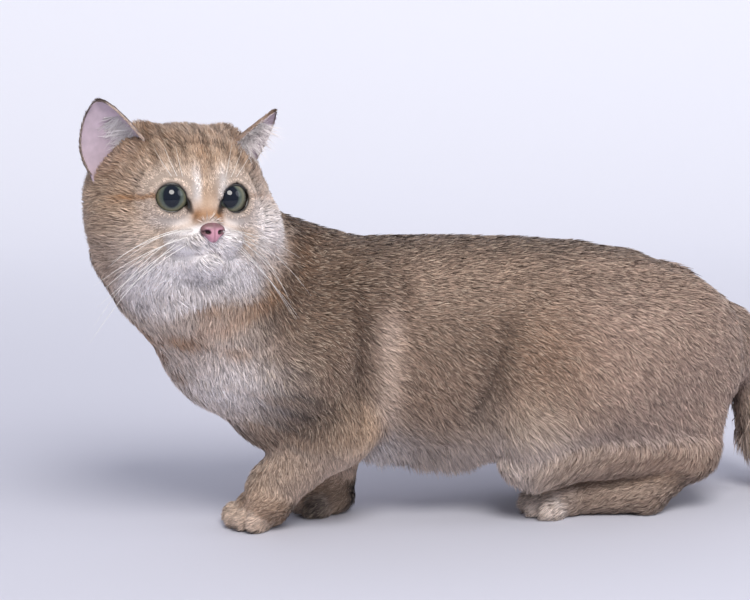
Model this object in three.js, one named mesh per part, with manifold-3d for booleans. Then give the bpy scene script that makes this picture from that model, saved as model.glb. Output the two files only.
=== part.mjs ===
// Munchkin cat, life size: a still model that stands on its short legs, with its head turned over its left
// shoulder. The outside is the surface of the coat.
// Millimetres. -X is the way the body faces, -Y is the cat's left, +Z is up, and the feet stand on Z = 0.
// The flesh is one smooth field, blended from named masses. Each node is the part of that surface within
// reach of its own masses, cut out with a thin gap to its neighbours.
import * as THREE from 'three';
import { mergeVertices } from 'three/addons/utils/BufferGeometryUtils.js';
import Module from 'manifold-3d';

const wasm = await Module();
wasm.setup();

// Driving dimensions
const GAP = 0.3;
const FINE = 0.06;                          // the most that dropping a corner may move the surface
const SHORT = 0.25;                         // edges shorter than this are always closed up
const EYE_RADIUS = 10.2;
const EYE_SPLAY = 14;                       // degrees that each eye looks out from straight ahead
const FLOOR_DEPTH = 30;
const HEAD_AT = new THREE.Vector3(-116, -42, 189.6);
const HEAD_TURN = { nod: -6, roll: 3, yaw: 9 };  // degrees, about the head's own X, Y and Z
const EAR_SKIN = 2.4;                       // thickness of the ear with its short fur
const EAR_ROOT = 0.3;                       // how far it goes on into the head, as a share of its height

const rad = THREE.MathUtils.degToRad;
const SIDES = { left: 1, right: -1 };

// Masses: each is { d, box, solid }. d(x, y, z) is about the distance to the surface, negative inside, and
// solid(by) is the mass as a plain solid, grown by so much.

// How many facets go round something of that radius.
const facets = (r) => Math.min(16, 2 * Math.round(r / 6) + 8);

// A rounded cone between two points.
function limb(a, b, ra, rb) {
  const [ax, ay, az] = a;
  const [bx, by, bz] = [b[0] - ax, b[1] - ay, b[2] - az];
  const lengthSq = bx * bx + by * by + bz * bz;
  const d = (x, y, z) => {
    const [px, py, pz] = [x - ax, y - ay, z - az];
    const t = Math.min(1, Math.max(0, (px * bx + py * by + pz * bz) / lengthSq));
    return Math.hypot(px - t * bx, py - t * by, pz - t * bz) - (ra + t * (rb - ra));
  };
  const box = new THREE.Box3().setFromPoints([new THREE.Vector3(...a), new THREE.Vector3(...b)]);
  const solid = (more) => {
    const round = facets(Math.max(ra, rb));
    const ball = new THREE.SphereGeometry(1, round, 2 * Math.round(round / 4));
    const place = ball.attributes.position;
    for (let i = 0; i < place.count; i++) {
      const upper = place.getY(i) > 1e-6;
      const r = (upper ? rb : ra) + more;
      const along = place.getY(i) * r + (upper ? Math.sqrt(lengthSq) : 0);
      place.setXYZ(i, place.getX(i) * r, along, place.getZ(i) * r);
    }
    const turn = new THREE.Quaternion().setFromUnitVectors(
      new THREE.Vector3(0, 1, 0),
      new THREE.Vector3(bx, by, bz).normalize(),
    );
    return solidOf(ball.applyQuaternion(turn).translate(ax, ay, az));
  };
  return { d, box: box.expandByScalar(Math.max(ra, rb)), solid };
}

// An ellipsoid, turned by angles in degrees about X, Y and Z.
function egg(at, radii, turn = [0, 0, 0]) {
  const place = new THREE.Matrix4().makeRotationFromEuler(new THREE.Euler(...turn.map(rad), 'ZYX'));
  const m = place.clone().transpose().elements;
  const [rx, ry, rz] = radii;
  const d = (x, y, z) => {
    const [px, py, pz] = [x - at[0], y - at[1], z - at[2]];
    const qx = (m[0] * px + m[4] * py + m[8] * pz) / rx;
    const qy = (m[1] * px + m[5] * py + m[9] * pz) / ry;
    const qz = (m[2] * px + m[6] * py + m[10] * pz) / rz;
    const near = Math.hypot(qx, qy, qz);
    return (near * (near - 1)) / (Math.hypot(qx / rx, qy / ry, qz / rz) + 1e-9);
  };
  const corner = new THREE.Vector3(rx, ry, rz);
  const box = new THREE.Box3(corner.clone().negate(), corner).applyMatrix4(place);
  const solid = (by) => {
    const ball = new THREE.SphereGeometry(1, facets(rx), facets(rx) / 2 + 1);
    return solidOf(ball.scale(rx + by, ry + by, rz + by).applyMatrix4(place).translate(...at));
  };
  return { d, box: box.translate(new THREE.Vector3(...at)), solid };
}

// A block, turned in the same way, for cutting only.
function block(at, size, turn = [0, 0, 0]) {
  const place = new THREE.Matrix4().makeRotationFromEuler(new THREE.Euler(...turn.map(rad), 'ZYX'));
  const solid = (by) => solidOf(
    new THREE.BoxGeometry(...size.map((n) => n + 2 * by)).applyMatrix4(place).translate(...at),
  );
  const half = new THREE.Vector3(...size).multiplyScalar(0.5);
  const box = new THREE.Box3(half.clone().negate(), half).applyMatrix4(place);
  return { box: box.translate(new THREE.Vector3(...at)), solid };
}

// The trunk, from stations along X of its back line, its belly line and its half width.
function trunk(stations) {
  const last = stations.length - 1;
  const d = (x, y, z) => {
    const next = stations.findIndex((s, i) => i > 0 && s.x > x);
    const i = next < 0 ? last - 1 : next - 1;
    const [s, e] = [stations[i], stations[i + 1]];
    const t = Math.min(1, Math.max(0, (x - s.x) / (e.x - s.x)));
    const ease = t * t * (3 - 2 * t) * 0.5 + t * 0.5;
    const mix = (key) => s[key] + ease * (e[key] - s[key]);
    const [top, low, half] = [mix('back'), mix('belly'), mix('half')];
    const high = (top - low) / 2;
    const round = (Math.hypot(y / half, (z - (top + low) / 2) / high) - 1) * Math.min(half, high);
    const past = Math.max(stations[0].x - x, x - stations[last].x, 0);
    return past > 0 ? Math.hypot(Math.max(round, 0), past) : round;
  };
  const half = Math.max(...stations.map((s) => s.half));
  const low = Math.min(...stations.map((s) => s.belly));
  const high = Math.max(...stations.map((s) => s.back));
  const box = new THREE.Box3(
    new THREE.Vector3(stations[0].x, -half, low),
    new THREE.Vector3(stations[last].x, half, high),
  );
  return { d, box };
}

const smoothMin = (a, b, k) => {
  const h = Math.max(k - Math.abs(a - b), 0) / k;
  return Math.min(a, b) - (h * h * k) / 4;
};

// Masses joined one after the other, with fillets about k wide.
function blend(k, ...fields) {
  const d = (x, y, z) => fields.reduce((sum, f) => smoothMin(sum, f.d(x, y, z), k), Infinity);
  const solid = (by) => fields.map((f) => f.solid(by)).reduce((a, b) => a.add(b));
  return { d, box: fields.reduce((box, f) => box.union(f.box), new THREE.Box3()), solid };
}

const headMatrix = new THREE.Matrix4()
  .makeRotationFromEuler(new THREE.Euler(rad(HEAD_TURN.nod), rad(HEAD_TURN.roll), rad(HEAD_TURN.yaw), 'ZYX'))
  .setPosition(HEAD_AT);

// A mass of the head's own frame (+X to the cat's left, -Y forward, +Z up), set in the part's frame.
function inHead(field) {
  const m = headMatrix.clone().invert().elements;
  const d = (x, y, z) => field.d(
    m[0] * x + m[4] * y + m[8] * z + m[12],
    m[1] * x + m[5] * y + m[9] * z + m[13],
    m[2] * x + m[6] * y + m[10] * z + m[14],
  );
  const solid = (by) => field.solid(by).transform(headMatrix.elements);
  return { d, box: field.box.clone().applyMatrix4(headMatrix), solid };
}

// Trunk and neck

const body = blend(
  16,
  trunk([
    { x: -78, back: 166, belly: 76, half: 38 },
    { x: -40, back: 171, belly: 48, half: 46 },
    { x: 0, back: 168, belly: 36, half: 52 },
    { x: 40, back: 167, belly: 30, half: 57 },
    { x: 80, back: 165, belly: 28, half: 60 },
    { x: 120, back: 161, belly: 33, half: 61 },
    { x: 155, back: 155, belly: 44, half: 59 },
    { x: 185, back: 144, belly: 54, half: 54 },
    { x: 208, back: 128, belly: 60, half: 44 },
  ]),
  egg([204, 0, 93], [35, 40, 33]),          // buttocks
  egg([-77, -4, 108], [44, 42, 44]),        // breast
  egg([-58, -8, 70], [27, 34, 25]),         // fur between the forelegs
);
const neck = blend(
  14,
  limb([-113, -29, 160], [-82, -8, 124], 46, 46),
  limb([-100, -18, 172], [-40, 0, 138], 34, 32), // nape
);

// Head, in its own frame

const EYE = { x: 16.9, y: -29.2, z: 5.4 };
const LID = { across: 9.5, up: 9.3, thick: 0.121, ahead: 6.95 };
const MIDLINE = 1.3;                        // how far nose, lips and chin stand to the cat's left

const pair = (make) => Object.values(SIDES).map(make);
const headMass = inHead(blend(
  8,
  egg([0, 6, 4], [46, 46, 42]),             // skull
  egg([0, 0, 19], [43, 30, 21.5]),          // crown
  ...pair((s) => egg([s * 23.5, 1, 29], [14, 13, 16.5])), // corners of the crown, before the ears
  ...pair((s) => egg([s * 27.5, -2, -8], [27, 31, 25])), // cheeks
  ...pair((s) => egg([s * 29, 4, -23], [20, 22, 17])), // sides of the throat
  ...pair((s) => egg([s * 35, 12, 6], [17, 20, 24])), // behind the cheeks, below the ears
  ...pair((s) => egg([s * 15, -12, -20], [21, 22, 15])), // jowls
  egg([0, -13, 16], [33, 18, 19]),          // forehead
  ...pair((s) => egg([s * 18.5, -18.5, 4], [16, 16.5, 15.5])), // round the eyes
));
const muzzleMass = inHead(blend(
  6,
  limb([0.3, -26, 9], [MIDLINE, -41, -8.3], 7.5, 6.8), // bridge of the nose
  ...pair((s) => egg([MIDLINE + s * 8.4, -35, -15.6], [11, 10.5, 7.8])), // whisker pads
));
const jawMass = inHead(blend(
  5,
  egg([MIDLINE, -31.5, -26.5], [9.5, 10, 7.5]),
  egg([MIDLINE / 2, -18, -26], [15, 16, 9]),
));
const noseMass = inHead(blend(
  2,
  egg([MIDLINE, -47, -11.3], [6.9, 3.6, 4.2]),
  egg([MIDLINE, -48, -14.6], [2.8, 2.8, 3.2]),
));

// Tail: it hangs from the rump and sweeps back just above the floor.

const TAIL = [
  { at: [226, 0, 98], r: 17 },
  { at: [239, 0, 80], r: 16.5 },
  { at: [244, 1, 58], r: 15.5 },
  { at: [250, 3, 37], r: 15 },
  { at: [266, 6, 21], r: 14.5 },
  { at: [296, 10, 17], r: 14 },
  { at: [328, 14, 17], r: 13 },
  { at: [357, 16, 20], r: 11.5 },
  { at: [380, 16, 27], r: 9 },
];
const tailCurve = new THREE.CatmullRomCurve3(TAIL.map((s) => new THREE.Vector3(...s.at)));
const TAIL_STEPS = 21;

function tailMass(from, to) {
  const radiusAt = (t) => {
    const i = Math.min(TAIL.length - 2, Math.floor(t * (TAIL.length - 1)));
    return THREE.MathUtils.lerp(TAIL[i].r, TAIL[i + 1].r, t * (TAIL.length - 1) - i);
  };
  const pieces = [];
  for (let i = from; i < to; i++) {
    const [a, b] = [i / TAIL_STEPS, (i + 1) / TAIL_STEPS];
    pieces.push(limb(tailCurve.getPoint(a).toArray(), tailCurve.getPoint(b).toArray(), radiusAt(a), radiusAt(b)));
  }
  return blend(2, ...pieces);
}

// Legs. Each is given by its joints; side is 1 for the cat's left, which is -Y.

const FORELEG = {
  left: {
    blade: [-14, -28, 132], shoulder: [-50, -33, 96], elbow: [-29, -33, 62], wrist: [-61, -18, 27],
    toes: [-78, -11], point: 22,
  },
  right: {
    blade: [-12, 28, 132], shoulder: [-44, 32, 96], elbow: [-8, 30, 60], wrist: [-20, 18, 27],
    toes: [-35, 15], point: 8,
  },
};
const HINDLEG = {
  left: {
    hip: [176, -26, 104], knee: [86, -44, 62], shin: [95, -36, 44], hock: [186, -31, 37],
    toes: [98, -22], point: 6,
  },
  right: {
    hip: [182, 26, 104], knee: [100, 44, 62], shin: [112, 36, 44], hock: [206, 31, 37],
    toes: [122, 22], point: -6,
  },
};
const TOE = { long: 9.5, half: 5.4, high: 8, apart: 7.8, back: 3.5 };

// A place on a paw: so far ahead, aside and up from a point on the floor, for a paw turned about Z.
function onPaw([x, y], point, ahead, aside, z) {
  const [c, d] = [Math.cos(rad(point)), Math.sin(rad(point))];
  return [x - ahead * c + aside * d, y - ahead * d - aside * c, z];
}

// A paw of four toes ahead of its pad.
function pawMass(at, point, pad) {
  const toes = [-1.5, -0.5, 0.5, 1.5].map((row) => egg(
    onPaw(at, point, Math.abs(row) > 1 ? -TOE.back : 0, row * TOE.apart, TOE.high - 1.6),
    [TOE.long, TOE.half, TOE.high],
    [0, 0, point + row * 7],
  ));
  return blend(2, egg(onPaw(at, point, -pad, 0, 10.6), [pad + 3, 16, 12], [0, 0, point]), ...toes);
}

// The clefts between a paw's toes.
const clefts = (at, point) => [-1, 0, 1].map((row) => egg(
  onPaw(at, point, row ? 3 : 5, row * TOE.apart, TOE.high),
  [8.5, 0.9, 9],
  [0, 0, point + row * 7],
).solid(0));

const legMasses = {};
for (const side of Object.keys(SIDES)) {
  const f = FORELEG[side];
  legMasses[`shoulder_${side}`] = blend(8, limb(f.blade, f.shoulder, 26, 27), limb(f.shoulder, f.elbow, 27, 22));
  legMasses[`forearm_${side}`] = limb(f.elbow, f.wrist, 21.5, 16);
  const wristFur = egg([f.wrist[0] - 3, f.wrist[1] + 1, 18], [14, 14, 12]);
  legMasses[`forepaw_${side}`] = blend(6, pawMass(f.toes, f.point, 13), wristFur);
  const h = HINDLEG[side];
  legMasses[`thigh_${side}`] = blend(
    14,
    limb(h.hip, h.knee, 38, 25),
    egg([(h.hip[0] + h.knee[0]) / 2 + 6, h.knee[1] + SIDES[side] * 4, 84], [56, 22, 42], [0, 24, 0]),
    egg([h.knee[0], h.knee[1] * 0.9, 36], [24, 16, 16]), // fur hanging before the knee
    limb([h.hock[0] + 5, h.hock[1], 78], h.hock, 23, 17), // back of the thigh
  );
  legMasses[`shank_${side}`] = limb(h.shin, h.hock, 21, 15);
  legMasses[`hindfoot_${side}`] = blend(
    5,
    limb([h.hock[0] - 2, h.hock[1], h.hock[2] - 4], [h.toes[0] + 16, h.toes[1] * 1.02, 13], 14, 12.5),
    limb([h.toes[0] + 24, h.toes[1] * 1.05, 11.4], [h.hock[0] - 16, h.hock[1], 13.4], 12, 14), // its sole
    pawMass(h.toes, h.point, 12),
  );
}

// The whole coat's surface. Each mass has its own fillet to what was joined before it.

const WHOLE = [
  [body, 1], [neck, 16], [headMass, 16], [muzzleMass, 7], [jawMass, 5],
  [tailMass(0, TAIL_STEPS), 10],
  ...Object.keys(SIDES).flatMap((side) => [
    [legMasses[`shoulder_${side}`], 12], [legMasses[`thigh_${side}`], 12], [legMasses[`forearm_${side}`], 10],
    [legMasses[`shank_${side}`], 6], [legMasses[`forepaw_${side}`], 6], [legMasses[`hindfoot_${side}`], 4],
  ]),
];

// What is carved from the face: the eye sockets with the openings before them, the line of the mouth and the
// nostrils.
const eyeHole = (s) => {
  const out = rad(EYE_SPLAY);
  const ahead = [s * (EYE.x + 12 * Math.sin(out)), EYE.y - 12 * Math.cos(out), EYE.z];
  return inHead(limb([s * EYE.x, EYE.y, EYE.z], ahead, EYE_RADIUS + 1, EYE_RADIUS - 1.6));
};
const MOUTH = [[0, -43, -21], [5.5, -41.5, -23.4], [13.5, -32.5, -25.6]];
const lipPoint = (s, [x, y, z]) => [MIDLINE + s * x, y, z];
const mouthLine = blend(
  1,
  inHead(limb([MIDLINE, -46, -16], lipPoint(1, MOUTH[0]), 1.3, 1.3)),
  ...pair((s) => MOUTH.slice(1).map((p, i) => limb(lipPoint(s, MOUTH[i]), lipPoint(s, p), 1.3, 1.3)))
    .flat().map(inHead),
);
const nostrils = blend(1, ...pair((s) => inHead(
  egg([MIDLINE + s * 3.8, -50.3, -12.4], [1.7, 2.4, 1.2], [0, 0, s * 20]),
)));

function whole(x, y, z) {
  let sum = Infinity;
  for (const [field, k] of WHOLE) {
    const box = field.box;
    const away = Math.max(box.min.x - x, x - box.max.x, box.min.y - y, y - box.max.y, box.min.z - z, z - box.max.z);
    if (away < sum + k) sum = smoothMin(sum, field.d(x, y, z), k);
  }
  return sum;
}

// Meshing

// The closed surface of a field within a box, as a net with one vertex to each cell that it crosses. The
// vertices are then drawn on to the surface and evened out.
function net(d, box, cell) {
  const size = box.getSize(new THREE.Vector3()).divideScalar(cell);
  const [nx, ny, nz] = size.toArray().map((n) => Math.ceil(n) + 3);
  const start = box.min.clone().subScalar(cell);
  const at = (i, j, k) => (k * ny + j) * nx + i;
  const value = new Float32Array(nx * ny * nz);
  for (let k = 0; k < nz; k++) for (let j = 0; j < ny; j++) for (let i = 0; i < nx; i++) {
    const rim = i === 0 || j === 0 || k === 0 || i === nx - 1 || j === ny - 1 || k === nz - 1;
    const there = d(start.x + i * cell, start.y + j * cell, start.z + k * cell);
    value[at(i, j, k)] = rim ? Math.max(there, cell * 0.5) : there;
  }
  const step = [1, nx, nx * ny];
  fillPinches(value, step);
  const corners = [0, 1, 2, 3, 4, 5, 6, 7].map((c) => [c & 1, (c >> 1) & 1, c >> 2]);
  const vertexOf = new Map();
  const points = [];
  const loose = [];
  for (let k = 0; k < nz - 1; k++) for (let j = 0; j < ny - 1; j++) for (let i = 0; i < nx - 1; i++) {
    const sum = [0, 0, 0];
    let crossings = 0;
    for (const c of corners) for (let axis = 0; axis < 3; axis++) {
      if (c[axis]) continue;
      const from = at(i + c[0], j + c[1], k + c[2]);
      const [a, b] = [value[from], value[from + step[axis]]];
      if (a < 0 === b < 0) continue;
      const t = a / (a - b);
      for (let n = 0; n < 3; n++) sum[n] += c[n] + (n === axis ? t : 0);
      crossings++;
    }
    if (!crossings) continue;
    vertexOf.set(at(i, j, k), points.length);
    points.push([i, j, k].map((n, m) => start.getComponent(m) + (n + sum[m] / crossings) * cell));
    loose.push(i > 0 && j > 0 && k > 0 && i < nx - 2 && j < ny - 2 && k < nz - 2);
  }
  const faces = [];
  for (let k = 0; k < nz - 1; k++) for (let j = 0; j < ny - 1; j++) for (let i = 0; i < nx - 1; i++) {
    const from = at(i, j, k);
    const here = [i, j, k];
    for (let axis = 0; axis < 3; axis++) {
      const [a, b] = [value[from], value[from + step[axis]]];
      if (a < 0 === b < 0 || !here[(axis + 1) % 3] || !here[(axis + 2) % 3]) continue;
      const [u, v] = [step[(axis + 1) % 3], step[(axis + 2) % 3]];
      const quad = [from - u - v, from - v, from, from - u].map((q) => vertexOf.get(q));
      if (a >= 0) quad.reverse();
      faces.push(quad);
    }
  }
  evenOut(d, points, faces, loose, cell);
  return solid(points, faces.flatMap((q) => splitQuad(points, q)));
}

// Fills the space where the surface would touch itself along an edge of the grid.
function fillPinches(value, step) {
  const squares = [[step[0], step[1]], [step[1], step[2]], [step[2], step[0]]];
  for (let filled = true; filled;) {
    filled = false;
    for (const [u, v] of squares) for (let q = 0; q + u + v < value.length; q++) {
      const [a, b, c, e] = [q, q + u, q + u + v, q + v].map((n) => value[n] < 0);
      if (a !== c || b !== e || a === b) continue;
      const [m, n] = a ? [q + u, q + v] : [q, q + u + v];
      value[value[m] < value[n] ? m : n] = -0.5;
      filled = true;
    }
  }
}

const away = (p, q) => Math.hypot(p[0] - q[0], p[1] - q[1], p[2] - q[2]);
const splitQuad = (p, [a, b, c, e]) => (away(p[a], p[c]) < away(p[b], p[e])
  ? [[a, b, c], [a, c, e]] : [[a, b, e], [b, c, e]]);

// Moves each vertex towards the middle of its neighbours and back on to the surface, a few times.
function evenOut(d, points, faces, loose, cell, rounds = 4) {
  const links = points.map(() => new Set());
  for (const q of faces) q.forEach((v, n) => links[v].add(q[(n + 1) % 4]).add(q[(n + 3) % 4]));
  const h = 0.25;
  const pull = (p) => {
    for (let n = 0; n < 2; n++) {
      const here = d(...p);
      const slope = [0, 1, 2].map((m) => {
        const q = p.slice();
        q[m] += h;
        return (d(...q) - here) / h;
      });
      const steep = Math.max(slope.reduce((s, g) => s + g * g, 0), 0.2);
      const go = Math.max(-cell / 2, Math.min(cell / 2, here / steep));
      slope.forEach((g, m) => { p[m] -= go * g; });
    }
  };
  for (let n = 0; n < rounds; n++) {
    const before = points.map((p) => p.slice());
    points.forEach((p, v) => {
      if (!loose[v]) return;
      const near = [...links[v]];
      for (let m = 0; m < 3; m++) {
        const mean = near.reduce((s, w) => s + before[w][m], 0) / near.length;
        p[m] += 0.5 * (mean - p[m]);
      }
      pull(p);
    });
  }
}

// A closed list of points and triangles, as a solid that can be cut and joined.
function solid(points, triangles) {
  return new wasm.Manifold(new wasm.Mesh({
    numProp: 3,
    vertProperties: new Float32Array(points.flat()),
    triVerts: new Uint32Array(triangles.flat()),
  }));
}

// A three.js geometry as a solid.
function solidOf(geometry, matrix = new THREE.Matrix4()) {
  const plain = geometry.clone().applyMatrix4(matrix);
  plain.deleteAttribute('normal');
  plain.deleteAttribute('uv');
  const merged = mergeVertices(plain, 1e-4);
  return new wasm.Manifold(new wasm.Mesh({
    numProp: 3,
    vertProperties: merged.attributes.position.array,
    triVerts: new Uint32Array(merged.index.array),
  }));
}

// Draws corners together along their edges, wherever that leaves the surface closed and all but where it was.
function thinOut(points, faces) {
  const facesOf = points.map(() => new Set());
  faces.forEach((face, i) => face.forEach((v) => facesOf[v].add(i)));
  const round = (v) => new Set([...facesOf[v]].flatMap((i) => faces[i]).filter((w) => w !== v));
  const planeOf = (face) => new THREE.Plane().setFromCoplanarPoints(...face.map((v) => points[v]));
  const keepsShape = (a, b) => {
    const short = points[a].distanceTo(points[b]) < SHORT;
    for (const i of facesOf[b]) {
      if (faces[i].includes(a)) continue;
      const before = planeOf(faces[i]);
      const after = planeOf(faces[i].map((v) => (v === b ? a : v)));
      if (after.normal.lengthSq() < 0.5) return false;
      const off = Math.abs(after.distanceToPoint(points[b]));
      if (before.normal.dot(after.normal) < (short ? 0 : 0.7) || off > (short ? SHORT : FINE)) return false;
    }
    return true;
  };
  const drop = (a, b) => {
    for (const i of facesOf[b]) {
      if (faces[i].includes(a)) {
        for (const v of faces[i]) if (v !== b) facesOf[v].delete(i);
        faces[i] = null;
      } else {
        faces[i] = faces[i].map((v) => (v === b ? a : v));
        facesOf[a].add(i);
      }
    }
    facesOf[b].clear();
  };
  for (let changed = true; changed;) {
    changed = false;
    for (let b = 0; b < points.length; b++) {
      const far = (p) => points[b].distanceTo(points[p]);
      const near = [...round(b)].sort((p, q) => far(p) - far(q));
      const shared = (a) => [...round(a)].filter((v) => near.includes(v)).length;
      const to = near.find((a) => shared(a) === 2 && keepsShape(a, b));
      if (to === undefined) continue;
      drop(to, b);
      changed = true;
    }
  }
  return faces.filter(Boolean);
}

// The other way round.
function geometryOf(made) {
  const mesh = made.getMesh();
  const place = new THREE.BufferAttribute(new Float32Array(mesh.vertProperties), 3);
  const spot = (_, i) => new THREE.Vector3().fromBufferAttribute(place, i);
  const points = Array.from({ length: place.count }, spot);
  const face = (_, i) => [...mesh.triVerts.slice(3 * i, 3 * i + 3)];
  const faces = Array.from({ length: mesh.triVerts.length / 3 }, face);
  return new THREE.BufferGeometry().setAttribute('position', place).setIndex(thinOut(points, faces).flat());
}

const less = (made, ...holes) => holes.reduce((sum, hole) => sum.subtract(hole), made);
const largest = (made) => made.decompose().reduce((a, b) => (b.volume() > a.volume() ? b : a));

// Cutting the whole into nodes

const floor = solidOf(new THREE.BoxGeometry(1000, 1000, FLOOR_DEPTH).translate(0, 0, -FLOOR_DEPTH / 2));
const slab = (from, to) => solidOf(new THREE.BoxGeometry(to - from, 1000, 1000).translate((from + to) / 2, 0, 200));

// The nodes are cut out of the skin one after the other, from the ends of the body inwards. Each takes what
// lies within its reach, less a gap to those before it.
const taken = [];
function cutOut(name, skin, reach) {
  const made = less(skin.intersect(reach.solid(0)), floor, ...taken);
  taken.push(reach.solid(GAP));
  return [name, largest(made)];
}
const skinRound = (reach, cell) => net(whole, reach.box.clone().expandByScalar(cell), cell);

// Trunk nodes lie between planes across the body.
const CHEST_END = 30;
const LOIN_END = 118;
function trunkNode(name, from, to) {
  return [name, largest(less(bodySkin.intersect(slab(from, to)), floor, ...taken))];
}

const inHeadMatrix = (local) => headMatrix.clone().multiply(local);
const eyeBall = (s, radius) => solidOf(
  new THREE.SphereGeometry(radius, 16, 9).rotateX(Math.PI / 2),
  inHeadMatrix(new THREE.Matrix4().makeRotationZ(s * rad(EYE_SPLAY)).setPosition(s * EYE.x, EYE.y, EYE.z)),
);

// A raised rim round each eye opening.
const lidRing = (s) => {
  const out = rad(EYE_SPLAY);
  const ring = new THREE.TorusGeometry(1, LID.thick, 6, 16).rotateX(Math.PI / 2).scale(LID.across, 10, LID.up);
  const place = new THREE.Matrix4().makeRotationZ(s * out)
    .setPosition(s * (EYE.x + LID.ahead * Math.sin(out)), EYE.y - LID.ahead * Math.cos(out), EYE.z);
  return solidOf(ring, inHeadMatrix(place));
};

// Ears

// Its root's inner and outer ends, its tip, how deep its cup is, how far its outer rim bows out and how
// blunt its inner rim is. The left ear is turned out to its side.
const EAR = {
  left: { inner: [26.5, -15, 37], outer: [42, 17, 27], tip: [50, -13, 56], deep: 10, bow: 0, blunt: 0.2 },
  right: { inner: [-24, -13, 37], outer: [-51, 4, 18], tip: [-52, -12, 57.5], deep: 11, bow: 4, blunt: 0.2 },
};
const EAR_ROWS = 9;
const EAR_COLUMNS = 8;

// A cup: rows run from the root to the tip, and columns bend round its back from rim to rim.
function earSolid(side) {
  const { inner, outer, tip, deep, bow, blunt } = EAR[side];
  const [a, b, t] = [inner, outer, tip].map((p) => new THREE.Vector3(...p));
  const root = a.clone().add(b).multiplyScalar(0.5);
  const up = t.clone().sub(root);
  const across = b.clone().sub(a);
  const half = across.length() / 2;
  across.normalize();
  const open = across.clone().cross(up).normalize().multiplyScalar(SIDES[side]);
  const point = (row, column, lift) => {
    const rise = (row / EAR_ROWS) * (1 + EAR_ROOT) - EAR_ROOT;
    const u = (column / EAR_COLUMNS) * 2 - 1;
    const above = Math.max(rise, 0);
    const narrow = (1 - above) ** 0.56;
    const innerNarrow = THREE.MathUtils.lerp(1 - above, (1 - above) ** 0.5, blunt);
    const width = (half - lift) * (u > 0 ? narrow : innerNarrow);
    const aside = width * Math.sin(u * Math.PI * 0.5) + bow * Math.sin(Math.PI * above) * Math.max(u, 0);
    const behind = deep * (1 - 0.4 * above) * narrow * Math.cos(u * Math.PI * 0.5);
    return root.clone()
      .addScaledVector(up, rise)
      .addScaledVector(across, aside)
      .addScaledVector(open, lift - behind);
  };
  const points = [];
  const index = {};
  for (const [face, lift] of [['back', 0], ['cup', EAR_SKIN]]) {
    for (let row = 0; row < EAR_ROWS; row++) for (let column = 0; column <= EAR_COLUMNS; column++) {
      index[[face, row, column]] = points.length;
      points.push(point(row, column, lift).applyMatrix4(headMatrix).toArray());
    }
    index[face] = points.length;
    points.push(point(EAR_ROWS, EAR_COLUMNS / 2, 0).addScaledVector(open, lift).applyMatrix4(headMatrix).toArray());
  }
  const triangles = [];
  const quad = (p, q, r, s) => triangles.push([p, q, r], [p, r, s]);
  for (const [face, flip] of [['back', false], ['cup', true]]) {
    for (let column = 0; column < EAR_COLUMNS; column++) {
      for (let row = 0; row < EAR_ROWS - 1; row++) {
        const corners = [index[[face, row, column]], index[[face, row, column + 1]],
          index[[face, row + 1, column + 1]], index[[face, row + 1, column]]];
        quad(...(flip ? corners.reverse() : corners));
      }
      const end = [index[[face, EAR_ROWS - 1, column]], index[[face, EAR_ROWS - 1, column + 1]], index[face]];
      triangles.push(flip ? end.reverse() : end);
    }
  }
  for (let row = 0; row < EAR_ROWS - 1; row++) {
    quad(index[['back', row + 1, 0]], index[['cup', row + 1, 0]], index[['cup', row, 0]], index[['back', row, 0]]);
    quad(index[['back', row, EAR_COLUMNS]], index[['cup', row, EAR_COLUMNS]],
      index[['cup', row + 1, EAR_COLUMNS]], index[['back', row + 1, EAR_COLUMNS]]);
  }
  for (let column = 0; column < EAR_COLUMNS; column++) {
    quad(index[['back', 0, column]], index[['cup', 0, column]],
      index[['cup', 0, column + 1]], index[['back', 0, column + 1]]);
  }
  const lastBack = (c) => index[['back', EAR_ROWS - 1, c]];
  const lastCup = (c) => index[['cup', EAR_ROWS - 1, c]];
  quad(lastBack(0), index.back, index.cup, lastCup(0));
  quad(index.back, lastBack(EAR_COLUMNS), lastCup(EAR_COLUMNS), index.cup);
  const made = solid(points, triangles);
  return made.volume() > 0 ? made : solid(points, triangles.map((f) => f.reverse()));
}

// Materials: the coat's mean colour on each stretch of the body

const COAT = { roughness: 0.95, metalness: 0 };
const MATERIALS = {
  back: new THREE.MeshStandardMaterial({ color: 0x8a7563, ...COAT }),
  gold: new THREE.MeshStandardMaterial({ color: 0xb0936f, ...COAT }),
  pale: new THREE.MeshStandardMaterial({ color: 0xcdbfb4, ...COAT }),
  nose: new THREE.MeshStandardMaterial({ color: 0xb0737a, roughness: 0.55, metalness: 0 }),
  eye: new THREE.MeshStandardMaterial({ color: 0x6f8374, roughness: 0.08, metalness: 0 }),
};

// The nodes

const nodes = [];
const add = (material, [name, made]) => nodes.push([name, made, material]);

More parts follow.
